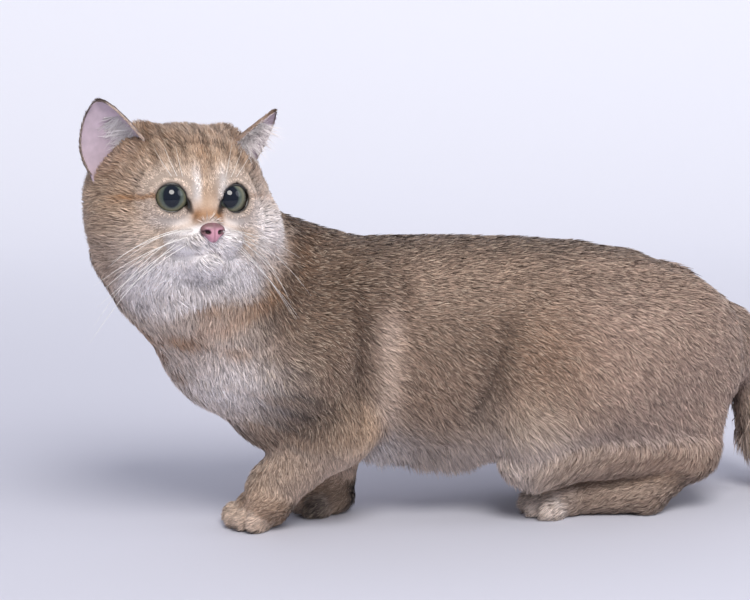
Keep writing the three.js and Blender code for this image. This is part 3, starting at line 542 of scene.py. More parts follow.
def markings(p, on):
    """The coat's colour at points, and how dark the tips of its hairs are, from 0 to 1."""
    q, x, y, z = on.q, on.x, on.y, on.z
    qx, qy, qz = q.T
    face, off_head = on.head, 1 - on.head
    beside = step(np.abs(y), 20, 40)
    colour = np.repeat(COAT["flank"][None], len(p), 0)
    ticked = np.full(len(p), 0.62)

    def paint(name, weight):
        nonlocal colour
        colour = mix(colour, COAT[name], np.clip(weight, 0, 1)[:, None])

    # Ground colours, with a soft mottle
    paint("back", on.back)
    ticked += 0.2 * on.back
    paint("rump", step(x, 70, 130) * (1 - 0.6 * on.back))
    colour = colour * (1 + 0.10 * noise(p * [0.7, 1, 1], 22, 31))[:, None]
    # Dark line down the nape and the spine
    paint("dark", 0.45 * step(z, 136, 158) * fade(np.abs(y + 6), 10, 26) * off_head)
    paint("stripe", 0.8 * step(z, 108, 146) * fade(x, -50, 5) * off_head)
    # Rusty shade over the hind part of the flank
    paint("rust", 0.22 * lump((x, 92, 34), (z, 104, 30)) * beside)
    # Painted shade in the folds and just before the thigh's fold, the upper shoulder darker, and painted light
    # on a band behind the shoulder's fold
    # painted shade: the folds are darkened where shade falls in them
    paint("dark", 0.45 * on.fold)
    # painted shade on the flank just before the thigh's fold
    paint("dark", 0.28 * lump((x, 52, 12), (z, 100, 26)) * beside)
    paint("stripe", 0.42 * on.shoulder * step(z, 84, 110))
    # painted light: a lighter, less ticked band behind the shoulder's fold, where light catches the fur turning
    # outward
    band = lump((x, -4, 8.5)) * step(z, 50, 75) * fade(z, 118, 140) * beside
    paint("rust", 0.35 * band)
    paint("cream", 0.55 * band)
    ticked -= 0.35 * band
    # Pale belly and knees, sandy legs
    low = fade(z, 34, 80) * step(x, -45, -20) * fade(x, 110, 165)
    paint("cream", 0.35 * low)
    knee = lump((x, 74, 28), (z, 42, 26)) * step(np.abs(y), 10, 30)
    paint("cream", 0.9 * knee)
    paint("belly", on.belly * 0.9 * step(x, -50, -10) * (1 - on.shank))
    paint("white", 0.8 * lump((x, -14, 24), (z, 46, 16)) * (1 - on.foreleg))
    ticked -= 0.45 * np.maximum(on.belly, np.maximum(0.7 * low, knee))
    paint("sand", on.foreleg * 0.8)
    paint("flank", on.shank * 0.5)
    ticked -= 0.2 * np.maximum(on.foreleg, on.shank)
    # Bars on the foreleg and the upper arm, and the lower shoulder darker above the elbow
    arm = np.maximum(on.foreleg, on.shoulder * fade(z, 92, 108)) * fade(x, -30, -12)
    bars = step(np.sin((z + 0.35 * x) * 0.56 + noise(p, 18, 8)), 0.35, 0.9)
    paint("dark", 0.6 * bars * arm * step(z, 42, 54) * fade(x, -50, -38))
    paint("cream", 0.35 * on.foreleg * fade(z, 50, 64))
    paint("dark", 0.62 * lump((x, -42, 17), (z, 74, 17)) * on.shoulder)
    # Cream chest with broken sandy bands, white throat with a dark edge
    chest = on.front * fade(x, -88, -50) * step(z, 60, 74)
    bands = step(noise(p * [1, 1, 0.4], 15, 5) + 0.7 * np.sin(z * 0.27 + 0.05 * x), 0.2, 0.8)
    paint("cream", chest * 0.9)
    paint("rust", chest * bands * 0.55)
    breast = lump((x, -92, 26), (z, 92, 20)) * step(-y, -30, 0)
    paint("white", 0.8 * breast * (1 - 0.5 * bands))
    edge = qz + 47 - 0.62 * (qx - 6) + 3 * noise(p, 8, 51)
    collar = step(edge, -4, 5) * step(qz, -62, -46) * fade(-qx, 26, 42) * fade(qy, -6, 16) * off_head
    paint("white", collar * 0.95)
    paint("dark", 0.34 * off_head * fade(x, -70, -40) * step(qx, 26, 44) * step(z, 100, 136))
    under = fade(edge, -14, -2) * step(edge, -34, -22) * fade(x, -70, -30) * off_head
    paint("rust", 0.45 * under * step(noise(p, 10, 52), -0.5, 0.5))
    ticked *= 1 - 0.6 * chest
    ticked *= 1 - 0.8 * collar
    # Head: sandy, darker at the temples
    ax = np.abs(qx - MIDLINE - 3.0 * step(qz, -8, 24))
    fine = noise(q * [1, 1, 0.45], 2.6, 41)
    paint("sand", face * 0.7)
    ticked = mix(ticked, 0.40, face)
    paint("back", 0.5 * face * step(ax, 24, 40) * step(qz, 2, 26) * step(qy, -34, -6))
    # Tabby stripes from the brow over the crown: middle and width of each, from the midline out
    crown = face * step(qz, 12, 19)
    wave = 1.1 * noise(q, 9, 7) + 0.6 * fine
    lines = ((0.0, 2.6), (11.6, 2.5), (18.2, 2.2), (26, 3.0))
    stripes = np.max([1 - step(np.abs(ax - at + wave), wide * 0.3, wide) for at, wide in lines], axis=0)
    stripes *= 0.45 + 0.55 * step(noise(q, 7, 9) + 0.5 * fine, -0.5, 0.5)
    top = face * step(qz, 24, 40)
    paint("back", 0.8 * top)
    paint("stripe", 0.7 * top * lump((ax, 26, 6)) * step(-qy, -6, 8))
    paint("rust", 0.30 * crown * step(noise(q, 10, 15), -0.2, 0.8))
    paint("stripe", crown * stripes * 0.8)
    paint("cream", crown * (1 - stripes) * step(fine, -0.2, 0.8) * 0.25)
    # Cream round the eyes, whitest above their inner corners and below them
    away = eye_offsets(q)
    paint("cream", face * fade(np.linalg.norm(away * [1, 0.6, 1], axis=1), 12, 21) * 0.85)
    above_corner = lump((ax, 7.2, 2.5)) * step(qz, 2, 8) * fade(qz, 14, 25) * step(-qy, 12, 26)
    paint("white", face * above_corner * 0.75)
    paint("white", face * lump((away[:, 2], -12.5, 3.4), (ax, 18, 10)) * 0.7)
    # Rusty bridge just above the nose, sandy between the eyes, a dark tear line beside it
    paint("rust", face * fade(ax, 6.5, 11) * lump((qz, -3.4, 4.0)) * step(-qy, 26, 34))
    paint("sand", face * fade(ax, 3, 6) * lump((qz, 7, 7)) * step(-qy, 18, 28) * 0.75)
    paint("dark", face * near(tears, p, 1.6) * 0.95)
    tear_line = lump((ax + 0.25 * (qz + 5), 7.4, 1.1), (qz, -4.5, 3)) * step(-qy, 26, 34)
    paint("stripe", face * tear_line * 0.6)
    # Brown streaks from the outer corners of the eyes, and one across the cheek
    streak = lump((qz + 0.2 * (ax - 26), 7.2, 1.6)) * step(ax, 22, 26) * fade(ax, 38, 48)
    paint("rust", face * streak * step(-qy, -4, 10) * 0.85)
    cheek_streak = lump((qz - 0.30 * (ax - 40), -8, 3.4)) * step(ax, 34, 42) * fade(ax, 50, 58)
    paint("back", face * cheek_streak * 0.5)
    # Pale cheeks, white lips, chin and throat; the white under the chin is laid on strongly, partly as painted
    # light against the shade there
    cheek = face * lump((qz, -20, 13), (ax, 30, 15))
    paint("cream", cheek)
    # white under the chin: the coat's own white, strengthened as painted light where shade falls under the chin
    paint("white", face * fade(qz, -34, -27) * fade(ax, 26, 42) * fade(qy, 0, 16))
    far_cheek = face * step(qx, 24, 34) * lump((qz, -10, 16)) * fade(qy, -12, 0)
    paint("white", 0.85 * far_cheek)
    paint("stripe", 0.7 * face * step(qx, 24, 40) * step(qy, -4, 6) * fade(qz, 14, 30))
    lower = face * fade(qz + 0.30 * (ax - 12), -26, -16) * fade(ax, 24, 44)
    paint("white", lower)
    pads = on.muzzle * fade(qz + 0.25 * (ax - 8), -11, -7.5)
    paint("white", pads)
    ticked *= 1 - 0.85 * np.maximum(np.maximum(pads, lower), 0.8 * far_cheek)
    # Rows of small dark spots where the whiskers stand, by height and strength, and the lips
    for height, strength in ((-11.2, 0.6), (-14.6, 0.55), (-17.8, 0.3)):
        spots = lump((qz + 0.02 * (ax - 12), height, 0.95)) * step(ax, 8.5, 10.5) * fade(ax, 18, 23)
        paint("stripe", np.maximum(pads, cheek) * spots * strength)
    paint("lip", near(mouth, p, 1.0) * face * 0.9)
    # Sandy paws with paler toes, dark soles, and dark behind the forepaws
    paint("sand", on.paw * (0.8 - 0.7 * step(x, 90, 120)))
    paint("flank", on.paw * 0.8 * step(x, 100, 125))
    toes = np.max([near(blend(1, *toes_of(leg["toes"], leg["point"])), p, 3)
                   for leg in (*FORELEG.values(), *HINDLEG.values())], axis=0)
    paint("cream", toes * 0.6)
    paint("white", toes * 0.3 * step(x, 60, 90))
    paint("sole", on.paw * fade(z, 1.2, 3.4))
    ticked = mix(ticked, 0.2, on.paw)
    for side, start in (("left", 5), ("right", 1)):
        wx, wy = FORELEG[side]["wrist"][:2]
        rear = step(x, wx + start, wx + 12) * fade(z, 16, 30) * fade(x, 10, 30)
        paint("sole", rear * on.paw * 0.95 * fade(np.abs(y - wy), 16, 24))
    # Tail: sandy with few dark tips, and cream on its left side, which faces the camera; part of this lightness
    # is painted light that lifts the shade between body and tail
    paint("sand", on.tail * 0.6)
    # painted light: the tail's left side is painted cream
    paint("cream", on.tail * step(-y, -14, 0))
    ticked = mix(ticked, 0.12, on.tail)
    return colour, np.clip(ticked, 0, 1)


# The lie of the coat

def nearest_on_tail(p):
    return np.linalg.norm(p[:, None] - tail_line[None, :, :3], axis=2).argmin(1)


def lie_of(p, normal, on):
    q, x, z = on.q, on.x, on.z
    low = 1 - step(z, 50, 150)
    way = np.stack([np.ones(len(p)), np.zeros(len(p)), -0.22 - 0.9 * low - 0.25 * step(x, 60, 130)], 1)
    for toward, share in (((0.35, 0, -0.95), on.belly), ((0.6, 0, -0.8), on.thigh * low),
                          ((0.6, 0.05, -0.8), on.neck * fade(x, -70, -30)), ((0.15, 0, -1.0), on.front),
                          ((0.3, 0, -0.95), on.shoulder * low), ((0.12, 0, -1.0), on.foreleg),
                          ((-0.6, 0, -0.55), on.shank)):
        way = mix(way, np.array(toward), share[:, None])
    along = np.gradient(tail_line[:, :3], axis=0)[nearest_on_tail(p)]
    way = mix(way, unit(along), on.tail[:, None])
    # From the nose over the face, and out from the eyes
    face = unit((q - [MIDLINE, -52, -8]) * [1, 0.55, 1])
    below = step(-q[:, 2], 12, 26)[:, None]
    face = mix(face, unit((q - [MIDLINE, -34, -8]) * [1, 0.2, 1.4]), below)
    away = eye_offsets(q)
    face = mix(face, unit(away), 0.85 * on.eye[:, None])
    way = mix(unit(way), face @ HEAD_TURN.T, on.head[:, None])
    way = mix(way, np.array([-0.95, 0.0, -0.35]), on.paw[:, None])
    way -= (way * normal).sum(1)[:, None] * normal
    return unit(way)


# Meshes

def smooth_mesh(name, points, faces):
    """A mesh from points in metres."""
    mesh = bpy.data.meshes.new(name)
    mesh.from_pydata(points.tolist(), [], faces if isinstance(faces, list) else faces.tolist())
    mesh.polygons.foreach_set("use_smooth", np.ones(len(mesh.polygons), bool))
    return mesh


def put(mesh, material):
    """The mesh as an object of the same name in the scene, in one material."""
    mesh.materials.append(material)
    thing = bpy.data.objects.new(mesh.name, mesh)
    bpy.context.scene.collection.objects.link(thing)
    return thing


def new_piece(name, points, faces, material):
    """A piece from points in millimetres, riding on the body."""
    piece = put(smooth_mesh(name, to_part(points), faces), material)
    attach(piece, "root")
    return piece


def set_colour(mesh, name, values):
    rgba = np.ones((len(values), 4), np.float32)
    rgba[:, :3] = values
    mesh.attributes.new(name, "FLOAT_COLOR", "POINT").data.foreach_set("color", rgba.ravel())


HAIR_FLOOR = 0.3                                # no hair reaches lower
HAIR_ROOT = 0.4                                 # how deep a hair stands in the skin
PATCH = np.array([(-1, -1), (1, -1), (-1, 0), (1, 0), (0, 1)]) * 0.0015     # one tuft's place on OFBake


def fur_piece(name, tufts, material):
    """One mesh of tufts, each a thin leaf of a quad and a triangle that bends along the lie."""
    n = len(tufts["root"])
    normal, lie = tufts["normal"], tufts["lie"]
    long, wide, lift, bend, turn = (tufts[key][:, None] for key in "length width lift bend roll".split())
    first = np.cos(lift) * lie + np.sin(lift) * normal
    second = np.cos(lift * bend) * lie + np.sin(lift * bend) * normal
    start = tufts["root"] - HAIR_ROOT * normal
    middle = start + first * long * 0.5
    across = unit(np.cross(first, normal))
    across = np.cos(turn) * across + np.sin(turn) * np.cross(first, across)
    points = np.stack([start - across * wide * 0.35, start + across * wide * 0.35,
                       middle - across * wide * 0.5, middle + across * wide * 0.5,
                       middle + second * long * 0.5], 1)
    points[..., 2] = np.maximum(points[..., 2], HAIR_FLOOR)
    flat = np.cross(across, first)
    flat *= np.sign((flat * normal).sum(1) + 1e-9)[:, None]
    shade = unit(0.7 * normal + 0.3 * flat + 0.15 * lie)
    colours = np.stack([tufts[key] for key in ("deep", "deep", "mid", "mid", "tip")], 1)
    # Each leaf faces away from the skin
    base = 5 * np.arange(n)[:, None]
    front = np.cross(points[:, 1] - points[:, 0], points[:, 3] - points[:, 0])
    flip = ((front * normal).sum(1) < 0)[:, None]
    quad = np.where(flip, base + [1, 0, 2, 3], base + [0, 1, 3, 2])
    triangle = np.where(flip, base + [3, 2, 4], base + [2, 3, 4])
    loops = np.concatenate([quad, triangle], 1).ravel()
    mesh = bpy.data.meshes.new(name)
    mesh.vertices.add(5 * n)
    mesh.vertices.foreach_set("co", to_part(points.reshape(-1, 3)).astype(np.float32).ravel())
    mesh.loops.add(7 * n)
    mesh.loops.foreach_set("vertex_index", loops.astype(np.int32))
    mesh.polygons.add(2 * n)
    mesh.polygons.foreach_set("loop_start", (7 * np.arange(n)[:, None] + [0, 4]).ravel().astype(np.int32))
    mesh.polygons.foreach_set("use_smooth", np.ones(2 * n, bool))
    mesh.update(calc_edges=True)
    spread = np.clip(tufts["spread"], 0.004, 0.996)
    uv = (spread[:, None] + PATCH[None]).reshape(-1, 2)
    mesh.uv_layers.new(name="OFBake").data.foreach_set("uv", uv[loops].astype(np.float32).ravel())
    set_colour(mesh, "coat", colours.reshape(-1, 3))
    mesh.normals_split_custom_set_from_vertices(np.repeat(shade, 5, 0).astype(np.float32))
    piece = put(mesh, material)
    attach(piece, "root")
    return piece


# Materials

def add(tree, kind, settings=(), links=()):
    """Adds a node, with its settings and input values. A link is a socket, or else the input's value."""
    node = tree.nodes.new(kind)
    for name, value in dict(settings).items():
        if isinstance(name, int) or name in node.inputs:
            node.inputs[name].default_value = value
        else:
            setattr(node, name, value)
    for name, source in dict(links).items():
        if isinstance(source, bpy.types.NodeSocket):
            tree.links.new(source, node.inputs[name])
        else:
            node.inputs[name].default_value = source
    return node


def new_material(name):
    material = bpy.data.materials.new(name)
    material.use_nodes = True
    material.node_tree.nodes.clear()
    return material, material.node_tree


def finish_material(tree, settings, links):
    shader = add(tree, "ShaderNodeBsdfPrincipled", settings, links)
    add(tree, "ShaderNodeOutputMaterial", (), {"Surface": shader.outputs[0]})


def varied(tree, colour, size, detail, low, high):
    """A colour made darker and lighter by a noise as fine as size, in metres, with that noise."""
    place = add(tree, "ShaderNodeTexCoord")
    grain = add(tree, "ShaderNodeTexNoise", {"Scale": 1 / size, "Detail": detail},
                {"Vector": place.outputs["Object"]})
    vary = add(tree, "ShaderNodeMapRange", {"To Min": low, "To Max": high}, {"Value": grain.outputs["Fac"]})
    tint = add(tree, "ShaderNodeVectorMath", {"operation": "SCALE"}, {0: colour, "Scale": vary.outputs[0]})
    return tint.outputs[0], grain.outputs["Fac"]


def own_colour(tree):
    return add(tree, "ShaderNodeAttribute", {"attribute_name": "coat"}).outputs["Color"]


def coat_hair():
    """Cat fur: fine smooth hairs with a soft shine, each in the colours of its root, band and tip."""
    material, tree = new_material("cat_fur")
    colour, _ = varied(tree, own_colour(tree), 0.0012, 2, 0.86, 1.14)
    finish_material(tree, {"Roughness": 0.62, "Specular IOR Level": 0.35, "Sheen Weight": 0.12,
                           "Sheen Roughness": 0.5}, {"Base Color": colour})
    return material


def cat_skin():
    """Skin under short fur: the coat's own colours, with a bump as fine as the hairs lying on it."""
    material, tree = new_material("furred_skin")
    colour, grain = varied(tree, own_colour(tree), 0.0010, 3, 0.75, 1.15)
    bump = add(tree, "ShaderNodeBump", {"Strength": 0.5, "Distance": 0.0005}, {"Height": grain})
    finish_material(tree, {"Roughness": 0.85, "Specular IOR Level": 0.2},
                    {"Base Color": colour, "Normal": bump.outputs[0]})
    return material


def bare_skin(name, code, roughness, bump_mm, gloss=0.0):
    """Bare moist skin, with a fine pebbled grain. Without a colour code it takes the piece's own colours."""
    material, tree = new_material(name)
    place = add(tree, "ShaderNodeTexCoord")
    pebbles = add(tree, "ShaderNodeTexVoronoi", {"Scale": 1 / 0.0007}, {"Vector": place.outputs["Object"]})
    bump = add(tree, "ShaderNodeBump", {"Strength": 0.4, "Distance": bump_mm * MM},
               {"Height": pebbles.outputs["Distance"]})
    colour, _ = varied(tree, own_colour(tree) if code is None else linear(code), 0.004, 3, 0.75, 1.2)
    finish_material(tree, {"Roughness": roughness, "Coat Weight": gloss, "Coat Roughness": 0.25},
                    {"Base Color": colour, "Normal": bump.outputs[0]})
    return material


IRIS = [(0.0, 0x2F3A38), (0.50, 0x38443F), (0.64, 0x535A53), (0.78, 0x6A6955), (0.87, 0x43463A),
        (0.94, 0x14110F)]                       # from the middle out


def eyeball_material():
    """A wet eye: clear gloss over a grey-green iris with an olive rim, and a dark upright pupil."""
    material, tree = new_material("wet_eye")
    place = add(tree, "ShaderNodeTexCoord")

    def ring(across, up):
        """How far out a point lies, as a share of half the width and half the height given in millimetres."""
        sizes = (1 / (across * MM), 0, 1 / (up * MM))
        scaled = add(tree, "ShaderNodeVectorMath", {"operation": "MULTIPLY", 1: sizes},
                     {0: place.outputs["Object"]})
        length = add(tree, "ShaderNodeVectorMath", {"operation": "LENGTH"}, {0: scaled.outputs[0]})
        return length.outputs["Value"]
    iris = add(tree, "ShaderNodeValToRGB", (), {"Fac": ring(9.4, 9.4)})
    for at, _ in IRIS[2:]:
        iris.color_ramp.elements.new(at)
    for element, (at, code) in zip(iris.color_ramp.elements, IRIS):
        element.position = at
        element.color = (*linear(code), 1)
    pupil = add(tree, "ShaderNodeMapRange", {"From Min": 0.92, "From Max": 1.1}, {"Value": ring(4.5, 6.1)})
    fibres, _ = varied(tree, iris.outputs["Color"], 0.0011, 3, 0.75, 1.3)
    both_colours = add(tree, "ShaderNodeMix", {"data_type": "RGBA", 6: (*linear(0x0A1220), 1)},
                       {0: pupil.outputs[0], 7: fibres})
    finish_material(tree, {"Roughness": 0.5, "Specular IOR Level": 0.0, "Coat Weight": 0.8,
                           "Coat Roughness": 0.02, "Coat IOR": 1.5}, {"Base Color": both_colours.outputs[2]})
    return material


FUR = coat_hair()
SKIN = cat_skin()
NOSE = bare_skin("nose_leather", None, 0.5, 0.12, 0.15)
RIM = bare_skin("eyelid_rim", 0x1B1614, 0.35, 0.05, 0.4)
EAR = bare_skin("ear_skin", 0xC6B4C0, 0.7, 0.08)
EYE = eyeball_material()


# Skin

FLESH = [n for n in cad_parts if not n.startswith(("eye_", "ear_", "nose"))]
points, quads = make_skin()
normals = unit(slope(skin_surface, points)[0])
skin_on = places(points)
colour, ticked = markings(points, skin_on)
hidden = 1 - np.maximum(skin_on.muzzle, skin_on.paw)
skin = new_piece("skin", points, quads, SKIN)
bare_lid = fade(np.linalg.norm(eye_offsets(skin_on.q), axis=1), 10.6, 12.2)
colour = mix(colour * (1 - 0.4 * hidden[:, None]), linear(0x2A1F1B), (bare_lid * skin_on.head)[:, None])
set_colour(skin.data, "coat", colour)
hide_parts(*FLESH)


# Coat: how its roots lie on OFBake, then its stretches

def turn_share(a, b):
    return np.arctan2(a, b) / (2 * np.pi) + 0.5


def head_unwrap(on, p):
    x, y, z = on.q.T
    return np.stack([turn_share(x, -y), np.arcsin(z / np.linalg.norm(on.q, axis=1)) / np.pi + 0.5], 1)


def trunk_unwrap(on, p):
    return np.stack([(on.x + 180) / 420, turn_share(on.y, on.z - 95)], 1)


def tail_unwrap(on, p):
    nearest = nearest_on_tail(p)
    off = p - tail_line[nearest, :3]
    along = np.clip((nearest + 0.5) / len(tail_line) + off[:, 0] / 400, 0.01, 0.99)
    return np.stack([along, turn_share(off[:, 1], off[:, 2] + off[:, 0] * 0.3)], 1)


def foreleg_unwrap(on, p, axis_x=-45):
    return np.stack([turn_share(p[:, 1], p[:, 0] - axis_x), np.clip(on.z / 130, 0.01, 0.99)], 1)


def hindleg_unwrap(on, p):
    return foreleg_unwrap(on, p, 140)


# Tufts to a square centimetre, their length, width and lift in degrees, and their place on OFBake
STRETCHES = {
    "face_fur": (560, 4.6, 0.42, 17, head_unwrap),
    "cheek_fur": (320, 7.5, 0.5, 29, head_unwrap),
    "neck_fur": (230, 8.5, 0.62, 27, trunk_unwrap),
    "chest_fur": (230, 9, 0.62, 27, trunk_unwrap),
    "flank_left_fur": (280, 6.8, 0.58, 28, trunk_unwrap),
    "flank_right_fur": (130, 8.5, 0.9, 28, trunk_unwrap),
    "rump_left_fur": (280, 6.8, 0.58, 28, trunk_unwrap),
    "rump_right_fur": (130, 8.5, 0.9, 28, trunk_unwrap),
    "belly_fur": (200, 13, 0.62, 28, trunk_unwrap),
    "forelegs_fur": (300, 6.5, 0.5, 27, foreleg_unwrap),
    "hindfeet_fur": (230, 7.5, 0.5, 28, hindleg_unwrap),
    "tail_fur": (190, 12, 0.75, 26, tail_unwrap),
}


def stretch_of(p, on):
    x, y, z, q = on.x, on.y, on.z, on.q
    name = np.where(x < -60, "chest_fur", np.where(x < 90, "flank_", "rump_")).astype(object)
    mid = x >= -60
    name[mid] = name[mid] + np.where(y[mid] < 0, "left_fur", "right_fur")
    name[on.belly + 0.35 * noise(p, 6, 71) > 0.5] = "belly_fur"
    name[(on.neck > 0.5) & (x < -60)] = "neck_fur"
    name[(on.foreleg > 0.6) | ((on.paw > 0.5) & (x < 30))] = "forelegs_fur"
    name[(on.shank > 0.6) | ((on.paw > 0.5) & (x > 30))] = "hindfeet_fur"
    name[on.tail > 0.5] = "tail_fur"
    is_head = on.head > 0.5
    name[is_head] = "cheek_fur"
    face = is_head & (np.linalg.norm(q - [0, -46, -2], axis=1) < 40)
    name[face] = "face_fur"
    return name


corners = points[quads]
middles = corners.mean(1)
crossed = np.cross(corners[:, 2] - corners[:, 0], corners[:, 3] - corners[:, 1])
area = 0.5 * np.linalg.norm(crossed, axis=1) / 100          # in square centimetres
quad_on = places(middles)
quad_stretch = stretch_of(middles, quad_on)
eyes_off = np.linalg.norm(eye_offsets(head_of(middles)), axis=1)
# No hair grows on the lids, the nose, the soles, the lips and the tear lines
bare = (eyes_off < 11.3) | (nose_mass[0](middles) < 0.2) | (middles[:, 2] < 1.0)
bare |= (mouth[0](middles) < 0.5) | (tears[0](middles) < 0.5)
quick_share = 1.0
for name, (per_cm, long, wide, steep, unwrap) in STRETCHES.items():
    pick = (quad_stretch == name) & ~bare
    share = area * pick
    count = int(share.sum() * per_cm * quick_share)
    chosen = rng.choice(len(quads), count, p=share / share.sum())
    u, v = rng.random((2, count, 1))
    c, m = corners[chosen], normals[quads[chosen]]
    root = mix(mix(c[:, 0], c[:, 1], u), mix(c[:, 3], c[:, 2], u), v)
    normal = unit(mix(mix(m[:, 0], m[:, 1], u), mix(m[:, 3], m[:, 2], u), v))
    on = places(root)
    lie = lie_of(root, normal, on)
    stray = np.stack([noise(root, 7, 21 + n) for n in range(3)], 1) * 0.38 + rng.normal(0, 0.17, (count, 3))
    stray -= (stray * normal).sum(1)[:, None] * normal
    lie = unit(lie + stray)
    base, ticked = markings(root, on)
    length = long * rng.uniform(0.7, 1.2, count)
    length *= mix(1, 0.62, on.muzzle)
    if name in ("face_fur", "cheek_fur"):
        length *= 0.62 + 0.43 * step(np.linalg.norm(on.q - [0, -48, -5], axis=1), 10, 38)
        length *= mix(1, 0.6, on.eye)
    elif name == "belly_fur":
        length *= (0.9 - 0.45 * step(on.x, 48, 66)) * (1 + 0.35 * noise(root, 7, 61))
    else:
        length *= mix(1, 0.6, on.paw)
        fringe = fade(on.z, 48, 84) * step(on.x, -55, -30) * (1 - on.foreleg) * (1 - on.shank)
        length *= 1 + 0.6 * fringe
        crest = lump((on.x, 189, 7), (on.y, 0, 12)) * step(on.z, 130, 140)
        length *= 1 + 0.8 * crest
        ticked = np.maximum(ticked, crest)
    lock = noise(root, 2.3, 3)
    clump = noise(root, 9, 4)
    shade = 1 + 0.20 * lock + 0.05 * clump + rng.normal(0, 0.22, count)
    guard = rng.random(count)
    dark = (guard < 0.10 + 0.50 * ticked + 0.42 * lock) * rng.uniform(0.45, 1.0, count) * np.sqrt(ticked)
    light = (guard > 0.72 - 0.1 * lock) * rng.uniform(0.3, 1.0, count) * (1 - 0.6 * on.eye)
    mid = base * np.clip(shade, 0.45, 1.7)[:, None]
    dark = np.clip(dark, 0, 1)[:, None]
    tip = mix(mix(mid * 1.1, COAT["tip_light"], light[:, None] * 0.9), COAT["tip_dark"], dark)
    middle_band = mix(mid, COAT["tip_dark"], 0.55 * dark)
    lift = np.radians(steep) * rng.uniform(0.65, 1.35, count)
    lift *= 1 - 0.4 * on.eye
    bend = np.full(count, 0.25)
    if name == "belly_fur":
        hang = np.arcsin(np.clip(-normal[:, 2], 0, 1)) * 0.85
        lift = np.maximum(lift * 0.7, hang * rng.uniform(0.8, 1.1, count))
        bend = step(-normal[:, 2], 0, 0.5)
    tufts = dict(root=root, normal=normal, lie=lie, length=length, lift=lift, bend=bend,
                 width=wide * rng.uniform(0.7, 1.3, count) * mix(1, 0.75, on.muzzle),
                 roll=rng.normal(0, 0.5, count), deep=mid * (0.75 if name == "belly_fur" else 0.45),
                 mid=middle_band, tip=tip, spread=unwrap(on, root))
    piece = fur_piece(name, tufts, FUR)


# Eyeballs, with their lid rims

def ball(radius, rings, columns):
    """A ball with its pole ahead, along -Y."""
    points = [(0, -radius, 0)]
    for r in range(1, rings):
        a = np.pi * r / rings
        wide = radius * np.sin(a)
        for c in range(columns):
            b = 2 * np.pi * c / columns
            points.append((wide * np.cos(b), -radius * np.cos(a), wide * np.sin(b)))
    points.append((0, radius, 0))
    faces = []
    for c in range(columns):
        d = (c + 1) % columns
        faces.append((0, 1 + c, 1 + d))
        for r in range(rings - 2):
            a, b = 1 + r * columns, 1 + (r + 1) * columns
            faces.append((a + c, b + c, b + d, a + d))
        last = 1 + (rings - 2) * columns
        faces.append((last + c, len(points) - 1, last + d))
    return np.array(points), faces


def grid_faces(index):
    """Quads between the rows and columns of a grid of point numbers."""
    return np.stack([index[:-1, :-1], index[:-1, 1:], index[1:, 1:], index[1:, :-1]], -1).reshape(-1, 4)


# The bare dark rim of the lids is drawn out to the inner corner and a little to the outer one
RIM_TURNS, RIM_ROUNDS = 96, 10
RIM_OUT, RIM_THICK = 7.35, 0.62
INNER_CORNER, OUTER_CORNER = -0.52, np.pi - 0.3  # where they lie round the eye, in radians from the nose


def lid_rim(s):
    a = 2 * np.pi * np.arange(RIM_TURNS)[:, None] / RIM_TURNS
    b = 2 * np.pi * np.arange(RIM_ROUNDS) / RIM_ROUNDS
    across, up = np.cos(a), np.sin(a)
    turn = np.arctan2(up, -s * across)
    inner = np.maximum(0, np.cos(turn - INNER_CORNER)) ** 14
    outer = np.maximum(0, np.cos(turn - OUTER_CORNER)) ** 24
    out = RIM_OUT / np.hypot(EYE_FLAT * across, up) + 2.6 * inner + 0.9 * outer
    thick = RIM_THICK + 0.85 * inner + 0.12 * np.maximum(0, up)
    ahead = np.sqrt(EYE_RADIUS ** 2 - np.minimum(out, 8.2) ** 2) + 0.15 - 0.8 * inner
    far = out + thick * np.cos(b)
    rim = np.stack([far * across, thick * np.sin(b) - ahead, far * up], -1).reshape(-1, 3)
    index = np.pad(np.arange(len(rim)).reshape(RIM_TURNS, RIM_ROUNDS), (0, 1), "wrap")
    return from_head(rim @ eye_frame(s).T + EYE_AT * [s, 1, 1]), grid_faces(index.T)


# Both eyes look the same way: a little to the right of the camera and above it
look = (1.75 * right + 0.9 * np.cross(back, right) + 10.0 * back) @ HEAD_TURN
look /= np.linalg.norm(look)
look_across = np.cross(look, [0, 0, 1.0])
look_across /= np.linalg.norm(look_across)
look_turn = Matrix(np.stack([look_across, -look, np.cross(look_across, -look)], 1).tolist()).to_4x4()
head_place = Matrix.Translation(Vector(to_part(HEAD_AT))) @ Matrix(HEAD_TURN.tolist()).to_4x4()
for side, s in SIDES.items():
    spots, faces = ball(EYE_RADIUS, 40, 48)
    eyeball = put(smooth_mesh("eyeball_" + side, spots * MM, faces), EYE)
    eyeball.matrix_world = head_place @ Matrix.Translation(Vector(EYE_AT * [s, 1, 1] * MM)) @ look_turn
    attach(eyeball, "root")
    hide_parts("eye_" + side)
    piece = new_piece("lid_rim_" + side, *lid_rim(s), RIM)


# Nose leather, with its nostrils and the groove below

def nose_surface(p):
    q = head_of(p)
    total = nose_mass[0](p)
    for s in SIDES.values():
        hole = egg([MIDLINE + s * 3.7, -50.4, -12.2], [1.8, 2.8, 1.35], [0, s * -14, s * 22])[0](q)
        slit = limb([MIDLINE + s * 5.0, -48.8, -12.0], [MIDLINE + s * 7.2, -45.6, -11.6], 0.75, 0.5)[0](q)
        total = np.maximum(total, -smooth_min(hole, slit, 0.6))
    groove = limb([MIDLINE, -51.4, -12.5], [MIDLINE, -50.4, -18.5], 0.45, 0.5)[0](q)
    return np.maximum(total, -groove)


